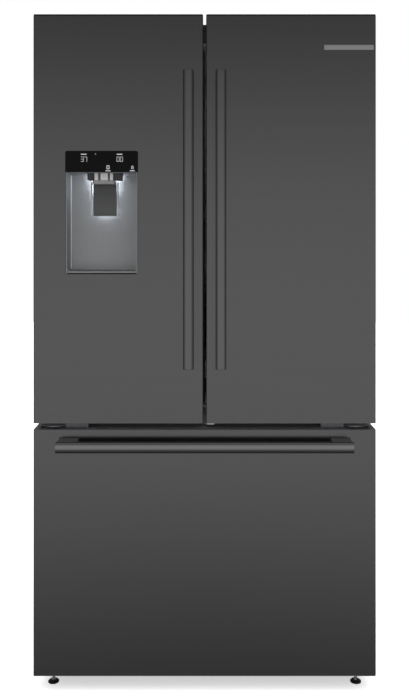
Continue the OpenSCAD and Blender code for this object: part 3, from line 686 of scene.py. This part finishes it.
def dispenser():
    """The recess in the left door with its trim, drip tray and lamps."""
    body = "left_door"
    # Recess: straight walls with a bowed back, rolled into the floor and the soffit
    bm = bmesh.new()
    levels = [(9, CAVE_FLOOR), (5, CAVE_FLOOR + 0.8), (2, CAVE_FLOOR + 3), (0, CAVE_FLOOR + 8),
              (0, (CAVE_FLOOR + SOFFIT) / 2), (0, SOFFIT - 4), (1.2, SOFFIT - 1.2), (4, SOFFIT)]
    rows = loft(bm, [[(x, y, z) for x, y in cave_plan(inset)] for inset, z in levels], caps=False,
                around=False)
    bm.faces.new(rows[0])
    bm.faces.new(rows[-1][::-1])
    bmesh.ops.recalc_face_normals(bm, faces=bm.faces)
    piece("dispenser_recess", bm, "silver", body, "dispenser_silver", "dispenser_housing",
          thickness=-1.5)
    # Trim round the recess, in a dark seal whose colour also paints the shade of the narrow gap between the
    # sheet and the trim
    bm = bmesh.new()
    frame_sweep(bm, DISP_LO, DISP_HI, 6,
                [(0.2, FRONT + 3), (0.2, FRONT + 0.4), (2.0, FRONT + 0.6), (2.0, FRONT + 3)])
    piece("dispenser_seal_gap_shade", bm, "paddle", body, "black_plastic")
    bm = bmesh.new()
    profile = [(1.9, FRONT + 3), (1.9, FRONT - 0.4), (2.3, FRONT - 0.9), (3.4, FRONT - 1), (4.4, FRONT - 0.6),
               (4.9, FRONT + 0.4), (4.9, FRONT + 3)]
    rings = []
    for inset, y in profile:
        outline = face_rect(DISP_LO, DISP_HI, inset, 6 - inset)
        outline = outline[-6:] + outline[:-6]
        rings.append([(x, y, z) for x, z in outline])
    loft(bm, rings, closed=True, around=False)
    piece("dispenser_trim", bm, "silver", body, "dispenser_silver")
    # Pale beads where the side walls meet the bowed back: a painted highlight of the rounded corners catching
    # light
    x0, x1 = DISP_LO.x + TRIM + 1.5, DISP_HI.x - TRIM - 1.5
    y0, y1 = FRONT + 6, CAVE_BACK - 24
    bm = bmesh.new()
    for x in (x0, x1):
        rod(bm, (x, y1, CAVE_FLOOR + 6), (x, y1, SOFFIT - 3), 1.4, seg=10)
    piece("recess_corner_highlights", bm, "nozzle", body, "dispenser_silver")
    # Slotted drip tray with a rounded front lip
    bm = bmesh.new()
    bars = 22
    pitch = (x1 - x0 - 8) / bars
    block(bm, (x0, y0, CAVE_FLOOR + 0.2), (x1, y0 + 5, CAVE_FLOOR + 3.6), 0.8)
    block(bm, (x0, y1 - 5, CAVE_FLOOR + 0.2), (x1, y1, CAVE_FLOOR + 3.6), 0.8)
    for side in (x0, x1 - 4):
        block(bm, (side, y0 + 5, CAVE_FLOOR + 0.2), (side + 4, y1 - 5, CAVE_FLOOR + 3.6), 0.6)
    for i in range(bars):
        x = x0 + 4 + (i + 0.5) * pitch
        block(bm, (x - 2.2, y0 + 4.5, CAVE_FLOOR + 0.8), (x + 2.2, y1 - 4.5, CAVE_FLOOR + 3.2), 0.5)
    piece("drip_tray", bm, "paddle", body, "paddle_grey")
    bm = bmesh.new()
    rod(bm, (x0, FRONT + 2, CAVE_FLOOR - 1.6), (x1, FRONT + 2, CAVE_FLOOR - 1.6), 2.0, seg=12)
    piece("tray_lip", bm, "ring", body, "dispenser_silver")
    # Lamps hidden behind the upper end of the paddle
    bm = bmesh.new()
    for x in (NOZZLE_X - 27.5, NOZZLE_X + 14):
        block(bm, (x, CAVE_BACK - 13, CHUTE_Z - 30), (x + 9, CAVE_BACK - 7, CHUTE_Z - 8), 1.0)
    # Two more on the back of the nozzle's carrier
    lamp_y = max(FRONT + 66, CAVE_BACK - 30)
    for x in (NOZZLE_X - 40, NOZZLE_X + 25):
        block(bm, (x, lamp_y, CHUTE_Z + 4.5), (x + 11, lamp_y + 5, CHUTE_Z + 16), 1.0)
    piece("dispenser_lamps", bm, "lamp", body, "dispenser_silver")


def nozzle():
    """The dark carrier, the light ice chute in front of it, and the ring under both."""
    body = "left_door"
    bm = bmesh.new()
    front, top = FRONT + 11, SOFFIT + 2
    for x0, x1 in ((NOZZLE_LO.x + 4, NOZZLE_X - 24), (NOZZLE_X + 27, NOZZLE_HI.x + 2)):
        block(bm, (x0, front + 2, CHUTE_Z + 1), (x1, front + 54, top), 2, 3)
    block(bm, (NOZZLE_X - 24, front + 8, CHUTE_Z + 2), (NOZZLE_X + 27, front + 52, top), 1)
    piece("nozzle_carrier", bm, "carrier", body, "paddle_grey", "ice_nozzle")
    bm = bmesh.new()
    for x0, x1 in ((-23, -12.4), (-6.8, 13.4), (18.2, 27)):
        block(bm, (NOZZLE_X + x0, front, CHUTE_Z), (NOZZLE_X + x1, front + 10, top - 1), 1.6, 3)
    gaps = bmesh.new()
    for x0, x1 in ((-12.4, -6.8), (13.4, 18.2)):
        block(gaps, (NOZZLE_X + x0, front + 3.5, CHUTE_Z), (NOZZLE_X + x1, front + 9, top - 1), 0.4)
    piece("nozzle_grooves", gaps, "paddle", body, "paddle_grey")
    piece("nozzle_front", bm, "nozzle", body, "dispenser_silver")
    bm = bmesh.new()
    outline = round_rect(NOZZLE_X - 28, front + 2, NOZZLE_X + 31, front + 38, 5)
    hole = round_rect(NOZZLE_X - 24, front + 6, NOZZLE_X + 27, front + 34, 3)
    prism(bm, [outline, hole], put_xy, CHUTE_Z - 10, CHUTE_Z + 0.6, 0.8)
    piece("nozzle_ring", bm, "ring", body, "dispenser_silver")


def paddle():
    """The lever with its bright edges, and the light guide on its back."""
    body = "dispenser_paddle"
    lo, hi = node_box("dispenser_paddle")
    pin = pivot("paddle_hinge")
    middle = (lo.x + hi.x) / 2
    bm = bmesh.new()
    # Side outline of the plate: straight, then bent back at its foot
    front = lo.y + 1.5
    outline = [(front, pin.z - 2), (front, lo.z + 15), (front + 3.2, lo.z), (front + 6, lo.z),
               (front + 6.4, lo.z + 2), (front + 3, lo.z + 16), (front + 3, pin.z - 2)]
    prism(bm, [outline], put_yz, middle - 31.5, middle + 31.5, 0.7)
    rod(bm, (middle - 30, pin.y, pin.z), (middle + 30, pin.y, pin.z), 4.3)
    piece("paddle_plate", bm, "paddle", body, "paddle_grey", "dispenser_paddle")
    bm = bmesh.new()
    for x in (middle - 38.4, middle + 32.2):
        block(bm, (x, front + 0.5, lo.z + 0.5), (x + 4.4, front + 5, pin.z + 3.5), 1.2, 3)
    piece("paddle_edges", bm, "satin_white", body, "paddle_grey")
    # Light guide on the back of the plate, which lights the wall round the paddle
    bm = bmesh.new()
    block(bm, (middle - 20, front + 3.4, lo.z + 8), (middle + 20, front + 5.8, lo.z + 22), 0.8)
    piece("paddle_light", bm, "soft_lamp", body, "paddle_grey")


def seven_segments(bm, x, z, w, h, segments, y0, y1):
    """One digit from its lit segments, lettered as is usual, from a at the top to g in the middle."""
    half, t = h / 2, 1.0
    places = {"a": (x, z + h - t, x + w, z + h), "g": (x, z + half - t / 2, x + w, z + half + t / 2),
              "d": (x, z, x + w, z + t), "f": (x, z + half, x + t, z + h), "e": (x, z, x + t, z + half),
              "b": (x + w - t, z + half, x + w, z + h), "c": (x + w - t, z, x + w, z + half)}
    for key in segments:
        x0, z0, x1, z1 = places[key]
        block(bm, (x0, y0, z0), (x1, y1, z1))


def control_panel():
    """The black display above the recess, with two numbers and two symbols."""
    body = "left_door"
    lo, hi = PANEL_LO, PANEL_HI
    bm = bmesh.new()
    r = 5
    outline = [p for p in face_rect(lo, hi, 0, r, 8) if p[1] > lo.z + r + 0.1]
    outline += [(lo.x, lo.z + 0.8), (lo.x + 0.8, lo.z), (hi.x - 0.8, lo.z), (hi.x, lo.z + 0.8)]
    prism(bm, [outline], put_xz, lo.y, FRONT - 0.4, 0.5)
    block(bm, (lo.x + TRIM, FRONT - 0.4, lo.z + 1), (hi.x - TRIM, FRONT + 7, hi.z - 5))
    piece("panel_glass", bm, "gloss", body, "black_glass", "control_panel")
    bm = bmesh.new()
    y0, y1 = lo.y - 0.12, lo.y + 0.3
    top = hi.z
    number_z = top - 28.5
    for x, digits in ((lo.x + 41.5, ("abgcd", "abc")), (hi.x - 56, ("abcdef", "abcdef"))):
        for i, segments in enumerate(digits):
            seven_segments(bm, x + i * 9, number_z, 7.2, 12.8, segments, y0, y1)
        block(bm, (x, y0, top - 10.2), (x + 15, y1, top - 8))
    lathe(bm, [(0, 1.4), (0.3, 1.4)], (lo.x + 80.2, y1, top - 8.5), (0, -1, 0), 12)
    # Ice and water symbols with a bar under each
    cube_x, drop_x = lo.x + 109.3, hi.x - 14.6
    prism(bm, [round_rect(cube_x, lo.z + 7.6, cube_x + 7.6, lo.z + 17.6, 1.5),
               round_rect(cube_x + 1.7, lo.z + 9.3, cube_x + 5.9, lo.z + 15.9, 0.8)], put_xz, y0, y1)
    drop, inner = [], []
    for i in range(16):
        t = 2 * math.pi * i / 16
        stretch = 1 + 0.75 * max(math.sin(t), 0) ** 3
        drop.append((drop_x + 3.4 * math.cos(t), lo.z + 11 + 3.4 * math.sin(t) * stretch))
        inner.append((drop_x + 1.9 * math.cos(t), lo.z + 11 + 1.9 * math.sin(t) * stretch))
    prism(bm, [drop, inner], put_xz, y0, y1)
    for middle in (cube_x + 3.8, drop_x):
        block(bm, (middle - 6.5, y0, lo.z + 2.2), (middle + 6.5, y1, lo.z + 4.4))
    piece("display_marks", bm, "mark", body, "black_glass")


dispenser()
nozzle()
paddle()
control_panel()

bm = bmesh.new()
badge_lo, badge_hi = node_box("badge_plate")
block(bm, badge_lo, badge_hi, 0.45)
piece("badge_blank", bm, "badge", "right_door", "badge_metal", "badge_plate")

# ---- Hinges ----

HINGE_TOP = node_box("door_hinges")[1].z
# Underside and thickness of the leaf between the doors and the drawer
LEAF_Z = 696.8
LEAF_T = 3.4


def middle_hinge(side, steel, dark, cover, leaf):
    """A round-fronted leaf, pale on top as a painted reflection, with a dark rim, its pin, and the covered
    part beside it.
    """
    front, r, centre, x0, x1 = -330.0, 42.0, 401, 371.2, 442.8
    back = -252
    arc = []
    for i in range(25):
        t = math.pi * (1 - i / 24)
        x, y = centre + r * math.cos(t), front + r - r * math.sin(t)
        if x0 < x < x1:
            arc.append((side * x, y))
    outline = arc + [(side * x1, back), (side * x0, back)]
    prism(leaf, [outline], put_xy, LEAF_Z + 0.4, LEAF_Z + LEAF_T)
    rim = [(x, y - 0.2) for x, y in arc]
    inner = [(side * centre + (x - side * centre) * 0.965, y + 1.6) for x, y in arc]
    prism(dark, [rim + inner[::-1]], put_xy, LEAF_Z, LEAF_Z + LEAF_T - 0.3)
    pin = Vector((side * abs(HINGE.x), HINGE.y, 0))
    rod(steel, pin + Vector((0, 0, LEAF_Z + LEAF_T)), pin + Vector((0, 0, DOOR["left_door"][0].z + 19)), 5)
    lo_z, hi_z = DOOR["freezer_drawer"][1].z + 1, DOOR["left_door"][0].z - 2.3
    side_block(cover, side, (309.2, -317.8, lo_z), (370.8, -249.5, hi_z), 2.5, 3)
    side_block(steel, side, (309, back, lo_z - 6.5), (441, -248.2, hi_z + 6), 0.5)
    for x in (322, 358):
        screw(steel, (side * x, back, hi_z + 1.4), (0, -1, 0), 3.6)


def top_hinge(side, steel):
    """An arm on the cabinet's top with a round end, its pin and two screws."""
    plate, r, pin_x = HINGE_TOP - 9, 14.0, side * abs(HINGE.x)
    turns = [math.pi * (1 + i / 12) for i in range(13)]
    arm = [(pin_x + r * math.cos(t), HINGE.y + r * math.sin(t)) for t in turns]
    arm += [(pin_x + r, -198), (pin_x - r, -198)]
    arm = [(max(min(x, 447.3), -447.3), y) for x, y in arm]
    prism(steel, [arm], put_xy, plate, plate + 5, 0.6)
    rod(steel, (pin_x, HINGE.y, HINGE_TOP - 50), (pin_x, HINGE.y, plate + 1), 4.9)
    for y in (-236, -208):
        screw(steel, (pin_x, y, plate + 5), (0, 0, 1), 6)


plates, rims, covers, leaves = bmesh.new(), bmesh.new(), bmesh.new(), bmesh.new()
for side in SIDES:
    middle_hinge(side, plates, rims, covers, leaves)
    top_hinge(side, plates)
piece("hinge_plates", plates, "zinc", "cabinet", "galvanised", "door_hinges")
# The leaves' pale finish is a painted reflection on the plates' tops
piece("hinge_leaves", leaves, "leaf", "cabinet", "galvanised")
piece("hinge_rims", rims, "edge", "cabinet", "galvanised")
piece("hinge_covers", covers, "cap", "cabinet", "galvanised")

# Pale glide under the right door's inner corner
bm = bmesh.new()
low = DOOR["right_door"][0]
block(bm, (low.x + 1.5, FRONT + 0.8, low.z - 2.6), (25, FRONT + 20, low.z + 0.5), 0.3)
piece("right_door_glide", bm, "satin_white", "right_door", "black_plastic")

# ---- Cabinet outside ----

CAB_LO, CAB_HI = node_box("cabinet_shell")
BACK = node_box("rear_panel")[1].y
# Half the width of the opening in the cabinet's front
RAIL_X = 414.8

bm = bmesh.new()
y0, y1 = CAB_LO.y, CAB_HI.y
frame_sweep(bm, CAB_LO, CAB_HI, 5,
            [(0, y1), (0, y0 + 2.5), (0.7, y0 + 0.8), (2.5, y0), (31, y0), (32.4, y0 + 0.6), (32.4, y0 + 3),
             (31.3, y0 + 3), (31.3, y0 + 1.6), (2.8, y0 + 1.6), (1.3, y0 + 3), (1.3, y1)])
piece("cabinet_wrap", bm, "cabinet", "cabinet", "cabinet_paint", "cabinet_shell")
bm = bmesh.new()
block(bm, (-RAIL_X, y0 + 0.1, 664.2), (RAIL_X, y0 + 3, 731.8), 1.2, 3)
block(bm, (-RAIL_X, y0 + 0.1, 72.6), (RAIL_X, y0 + 3, 91.8), 1.0)
piece("cross_rails", bm, "rail", "cabinet", "cabinet_paint")

bm = bmesh.new()
low, high = node_box("top_cover")
outline = [(low.y, low.z + 0.1), (low.y, high.z - 3), (low.y + 1, high.z - 1), (low.y + 4, high.z),
           (-161, high.z), (-158, high.z - 1), (high.y - 1.5, low.z + 8), (high.y, low.z + 5),
           (high.y, low.z + 0.1)]
prism(bm, [outline], put_yz, low.x + 0.1, high.x - 0.1, 0.9)
piece("top_cover_moulding", bm, "black", "cabinet", "black_plastic", "top_cover")

# Rear sheet with pressed panels and a row of screws round it
bm = bmesh.new()
low, high = node_box("rear_panel")
prism(bm, [face_rect(low, high, 0.2, 4)], put_xz, low.y, BACK - 0.95, 0.3)
for x0, x1 in ((-405, -150), (-128, 128), (150, 405)):
    for z0, z1 in ((290, 965), (1000, 1700)):
        prism(bm, [round_rect(x0, z0, x1, z1, 22)], put_xz, BACK - 1.3, BACK - 0.25, 0.6)
for i in range(9):
    z = low.z + 16 + i * (high.z - low.z - 32) / 8
    for x in (low.x + 13, high.x - 13):
        screw(bm, (x, BACK - 0.95, z), (0, 1, 0), 4.2, 0.9)
for i in range(1, 5):
    screw(bm, (low.x + i * (high.x - low.x) / 5, BACK - 0.95, high.z - 14), (0, 1, 0), 4.2, 0.9)
piece("rear_sheet", bm, "zinc", "cabinet", "galvanised", "rear_panel")

# Louvred cover of the machine bay, with a grommet in its cable hole
bm = bmesh.new()
low, high = node_box("machine_cover")
loops = [face_rect(low, high, 0.2, 5), circle(0, 66, 9)]
slots = [(42 * i, 80 + 26 * row) for row in range(6) for i in range(-9, 10) if abs(i) > 2 or row > 0]
for x, z in slots:
    loops.append(round_rect(x - 15, z - 4, x + 15, z + 4, 1.5, 2))
prism(bm, loops, put_xz, high.y - 1.9, high.y - 0.8)
for x, z in slots:
    block(bm, (x - 14.6, high.y - 2.4, z + 1.2), (x + 14.6, high.y - 0.1, z + 3.9), 0.5, 1)
for x in (low.x + 10, -200, 200, high.x - 10):
    screw(bm, (x, high.y - 0.8, low.z + 12), (0, 1, 0), 4.2, 0.7)
    screw(bm, (x, high.y - 0.8, high.z - 9), (0, 1, 0), 4.2, 0.7)
piece("bay_louvres", bm, "zinc", "cabinet", "galvanised", "machine_cover")
bm = bmesh.new()
lathe(bm, [(-0.2, 7), (1.6, 7), (1.9, 7.6), (1.9, 11.4), (1.5, 12), (0.8, 12), (0.8, 8.8), (-0.2, 8.8)],
      (0, high.y - 2, 66), (0, 1, 0), 28, True)
piece("cable_grommet", bm, "rubber", "cabinet", "gasket_rubber")


def foot(body, x):
    """A levelling foot: a round pad, a hexagonal shoulder and a threaded stem."""
    bm = bmesh.new()
    y = (node_box(body)[0].y + node_box(body)[1].y) / 2
    pad = [(0, 13.2), (0.9, 14.8), (2.8, 14.9), (3.4, 14.4), (6.8, 10), (7, 8.5)]
    lathe(bm, pad, (x, y, 0), (0, 0, 1), 32)
    piece(body + "_pad", bm, "black", body, "black_plastic", body)
    bm = bmesh.new()
    lathe(bm, [(6.8, 6.4), (7.2, 6.9), (9.6, 6.9), (10, 6.4)], (x, y, 0), (0, 0, 1), 6)
    thread = [(10, 3.9)]
    for i in range(27):
        thread += [(10.5 + 1.5 * i, 3.95), (11.2 + 1.5 * i, 3.4)]
    lathe(bm, thread + [(51.8, 3.2)], (x, y, 0), (0, 0, 1), 16)
    piece(body + "_stem", bm, "steel", body, "galvanised")


def roller(body, x):
    """A rear roller with a grooved tread and dished faces."""
    centre = pivot(body + "_spin")
    bm = bmesh.new()
    half = [(2.4, 18), (3, 18.9), (8, 18.9), (9.8, 17), (9.8, 15), (7, 14), (7, 8.5), (9.8, 7.5), (9.8, 4.3)]
    profile = [(-along, radius) for along, radius in reversed(half)] + half
    lathe(bm, profile, (x, centre.y, centre.z), (1, 0, 0), 36, True)
    for i in range(6):
        t = math.pi / 3 * i
        y, z = centre.y + 11.2 * math.cos(t), centre.z + 11.2 * math.sin(t)
        lathe(bm, [(-8.6, 1.7), (8.6, 1.7)], (x, y, z), (1, 0, 0), 10)
    piece(body + "_wheel", bm, "black", body, "black_plastic", body)


for side, name in zip(SIDES, ("left", "right")):
    foot(name + "_foot", side * 408)
    roller(name + "_roller", side * 380)

# ---- Gaskets and door liners ----

def gasket(body, node):
    """A bellows seal with a soft magnetic front."""
    low, high = node_box(node)
    a, b, w = low.y + 0.1, high.y, 18
    fold = [(2, a), (1, a + 2.4), (3.4, a + 4.2), (0.7, a + 6.6), (0, b - 2), (0.4, b - 0.7), (1.6, b)]
    frame_profile = fold + [(w - inset, y) for inset, y in reversed(fold)]
    bm = bmesh.new()
    frame_sweep(bm, low, high, 8, frame_profile)
    piece(node + "_bellows", bm, "rubber", body, "gasket_rubber", node)


def door_liner(body, node, side):
    """A door's inner panel with two moulded dykes, notched for the hinge arm."""
    lo, hi = DOOR[body]
    x_in, x_out = 4.4, max(abs(lo.x), abs(hi.x)) - 0.3
    inner, notch_z = abs(HINGE.x) - NOTCH_X - 0.3, hi.z - NOTCH_Z - 0.3
    outline = [(x_in, lo.z + 0.3), (x_out, lo.z + 0.3), (x_out, notch_z), (inner, notch_z),
               (inner, hi.z - 0.3), (x_in, hi.z - 0.3)]
    bm = bmesh.new()
    loops = [[(side * x, z) for x, z in outline]]
    if body == "left_door":
        hole = round_rect(-372, 1098, -172, 1437, 6)
        loops.append(hole)
        prism(bm, [round_rect(-385, 1085, -160, 1450, 8), hole], put_xz, SKIN_BACK + 1.9, -250)
        block(bm, (-385, -250.5, 1085), (-160, -222, 1450), 6, 4)
    prism(bm, loops, put_xz, SKIN_BACK + 0.1, SKIN_BACK + 1.9, 0.5)
    back = node_box(node)[1].y
    for x in (55, 379):
        side_block(bm, side, (x, SKIN_BACK + 1, 746), (x + 20, back, 1716), 6, 4)
    piece(node + "_panel", bm, "white", body, "liner_white", node)


for side, body in zip(SIDES, ("left_door", "right_door")):
    gasket(body, body + "_gasket")
    door_liner(body, body + "_liner", side)
gasket("freezer_drawer", "drawer_gasket")
bm = bmesh.new()
lo, hi = DOOR["freezer_drawer"]
prism(bm, [face_rect(lo, hi, 0.3, 2)], put_xz, SKIN_BACK + 0.1, SKIN_BACK + 1.9, 0.5)
block(bm, (-380, SKIN_BACK + 1, 106), (380, -242, 650), 8, 4)
piece("drawer_liner_panel", bm, "white", "freezer_drawer", "liner_white", "drawer_liner")

bm = bmesh.new()
low, high = node_box("centre_flap")
block(bm, low, high, 2.2, 3)
block(bm, (low.x + 8, high.y - 0.6, low.z + 30), (high.x - 8, high.y - 0.05, high.z - 30), 0.25)
piece("centre_flap_bar", bm, "flap", "centre_flap", "black_plastic", "centre_flap")

# ---- Compartments ----

# Half the compartments' width, and their heights and back
MOUTH = 405
FRESH_Z = (740, 1722)
FREEZER_Z = (100, 656)
CAVITY_BACK = 325
SHELF_LEVELS = ((-1, (1050, 1270, 1480)), (1, (1050, 1240, 1450)))
SHELF_FRONT, SHELF_BACK = -90, 300

bm = bmesh.new()
levels = [(3, CAB_LO.y + 1.6, 15), (1, CAB_LO.y + 2.4, 13), (0, CAB_LO.y + 5, 12), (0, 311, 12),
          (-2, 319, 14), (-6, 323.4, 16), (-14, CAVITY_BACK, 22)]
rings = []
for grow, y, r in levels:
    outline = round_rect(-MOUTH - grow, FRESH_Z[0] - grow, MOUTH + grow, FRESH_Z[1] + grow, r)
    rings.append([(x, y, z) for x, z in outline])
rows = loft(bm, rings, caps=False)
bm.faces.new(rows[-1])
prism(bm, [round_rect(-RAIL_X, 732.2, RAIL_X, 1732.8, 12), round_rect(-408, 737, 408, 1725, 15)], put_xz,
      CAB_LO.y + 0.2, CAB_LO.y + 1.6, 0.2)
for side, levels in SHELF_LEVELS:
    for z in levels:
        side_block(bm, side, (399.2, SHELF_FRONT, z - 24), (405.2, SHELF_BACK, z - 12.1), 2.4, 3)
piece("fresh_food_cavity", bm, "white", "cabinet", "liner_white", "fresh_food_liner")
bm = bmesh.new()
for side in SIDES:
    side_block(bm, side, (70, -205, 1718.5), (300, -178, 1721.9), 1.4)
    side_block(bm, side, (402.2, -175, 1120), (404.9, -160, 1640), 1.1)
piece("interior_lamps", bm, "led", "cabinet", "liner_white")

bm = bmesh.new()
# The floor steps up over the machine bay, and what sticks out of the front is cut off
bay_y, bay_z = 140, 290
bottom, top = FREEZER_Z
outline = [(CAB_LO.y - 20, bottom), (bay_y, bottom), (bay_y, bay_z), (CAVITY_BACK, bay_z),
           (CAVITY_BACK, top), (CAB_LO.y - 20, top)]
prism(bm, [outline], put_yz, -MOUTH, MOUTH, 10, 3)
bmesh.ops.bisect_plane(bm, geom=[*bm.verts, *bm.edges, *bm.faces], plane_co=(0, CAB_LO.y + 1, 0),
                       plane_no=(0, -1, 0), clear_outer=True)
prism(bm, [round_rect(-RAIL_X, 92.2, RAIL_X, 663.8, 8), round_rect(-MOUTH, bottom, MOUTH, top, 10)], put_xz,
      CAB_LO.y + 0.2, CAB_LO.y + 1.8, 0.2)
piece("freezer_cavity", bm, "white", "cabinet", "liner_white", "freezer_liner")

# ---- Shelves ----

# Front of the crispers and the chiller drawer, and back of the door bins
FOOD_FRONT = -70
BIN_BACK = -160

trims, panes = bmesh.new(), bmesh.new()
for side, levels in SHELF_LEVELS:
    for z in levels:
        for y0, y1, r in ((SHELF_FRONT, -79.8, 4), (291.8, SHELF_BACK, 3)):
            side_block(trims, side, (5, y0, z - 12), (398, y1, z + 3), r, 3)
        for inner in (5, 390):
            side_block(trims, side, (inner, -82, z - 11.8), (inner + 8, 294, z + 2.6), 2.4, 3)
        side_block(panes, side, (12.6, -80.5, z - 3), (390.4, 292.5, z + 1), 1.0)
block(trims, (-MOUTH + 0.2, FOOD_FRONT, 857.1), (MOUTH - 0.2, SHELF_BACK, 861.9), 2.0)
piece("shelf_trims", trims, "satin_white", "cabinet", "liner_white", "shelf_frames")
piece("shelf_panes", panes, "glass", "cabinet", "shelf_glass", "glass_shelves")

# ---- Bins and drawers ----

def door_bins(body, node, side, places):
    """Clear bins with a rolled rim and a pale band across the front of each."""
    tubs, bands = bmesh.new(), bmesh.new()
    for z, height in places:
        x0, x1 = sorted((side * 76.2, side * 377.8))
        tub(tubs, (x0, SKIN_BACK + 2.2, z), (x1, BIN_BACK, z + height), 2.4, 12)
        top = z + height
        block(bands, (x0 + 12, BIN_BACK - 3.2, top - 22), (x1 - 12, BIN_BACK - 0.3, top - 5), 1.1)
    piece(node + "_tubs", tubs, "clear", body, "clear_plastic", node)
    piece(node + "_bands", bands, "satin_white", body, "clear_plastic")


def food_drawer(node, x0, x1, z0, z1):
    """A clear pull-out drawer with a moulded grip along its front."""
    bm = bmesh.new()
    tub(bm, (x0, FOOD_FRONT, z0), (x1, 285, z1), 2.8, 14)
    piece(node + "_tub", bm, "clear", node, "clear_plastic", node)
    bm = bmesh.new()
    block(bm, (x0 + 1, FOOD_FRONT - 8, z1 - 22), (x1 - 1, FOOD_FRONT + 1, z1 - 0.5), 3.4, 4)
    piece(node + "_grip", bm, "satin_white", node, "clear_plastic")


door_bins("left_door", "left_door_bins", -1, [(760, 105), (925, 105)])
door_bins("right_door", "right_door_bins", 1, [(760, 105), (975, 105), (1190, 105), (1410, 85), (1600, 80)])
food_drawer("left_crisper", -396, -6, 862.5, 1034)
food_drawer("right_crisper", 6, 396, 862.5, 1034)
food_drawer("chiller_drawer", -394, 394, 745, 853)

bm = bmesh.new()
tub(bm, (-385.2, -238, 110), (385.2, 130, 333), 3.6, 18, 4)
# Rim that the slides hold, and the rails for the tray above
for side in SIDES:
    for near, far, z0, z1 in ((383, 391.2, 330.1, 333), (360.2, 373.2, 332.6, 345.5)):
        side_block(bm, side, (near, -238, z0), (far, 130, z1), 1.0)
piece("freezer_bin_tub", bm, "frost", "freezer_drawer", "clear_plastic", "freezer_bin")
bm = bmesh.new()
tub(bm, (-372, -236, 346), (372, 118, 470), 3.6, 16, 4)
piece("freezer_tray_tub", bm, "frost", "freezer_tray", "clear_plastic", "freezer_tray")

bm = bmesh.new()
centre = pivot("water_filter_turn")
low, high = node_box("water_filter")
base = (centre.x, 0, centre.z)
lathe(bm, [(-78, 18), (-77, 21), (-73, 22.4), (-44, 22.4), (-43, 21.4), (-39, 21.4), (-38, 22.4), (144, 22.4),
           (147, 21), (147.8, 17)], base, (0, 1, 0), 36)
block(bm, (centre.x - 4, low.y, centre.z - 18), (centre.x + 4, -77, centre.z + 18), 2.4, 3)
piece("filter_cartridge", bm, "satin_white", "water_filter", "liner_white", "water_filter")

# ---- Finishes of the CAD nodes that stay as they are ----

CAD_FINISH = {
    "zinc": ["base_frame", "freezer_rails", "drawer_runners", "slide_middles"],
    "white": ["evaporator_cover", "air_duct", "filter_housing", "ice_box"],
    "foam": ["cabinet_foam", "left_door_core", "right_door_core", "drawer_core"],
    "clear": ["dairy_lid", "ice_bucket"],
    "black": ["chute_flap", "condenser_fan", "evaporator_fan"],
    "coil": ["compressor", "condenser"],
    "alu": ["evaporator", "ice_auger"],
}
for finish, names in CAD_FINISH.items():
    for name in names:
        slots = frame["nodes"][name].data.materials
        for index in range(len(slots)):
            slots[index] = MATS[finish]
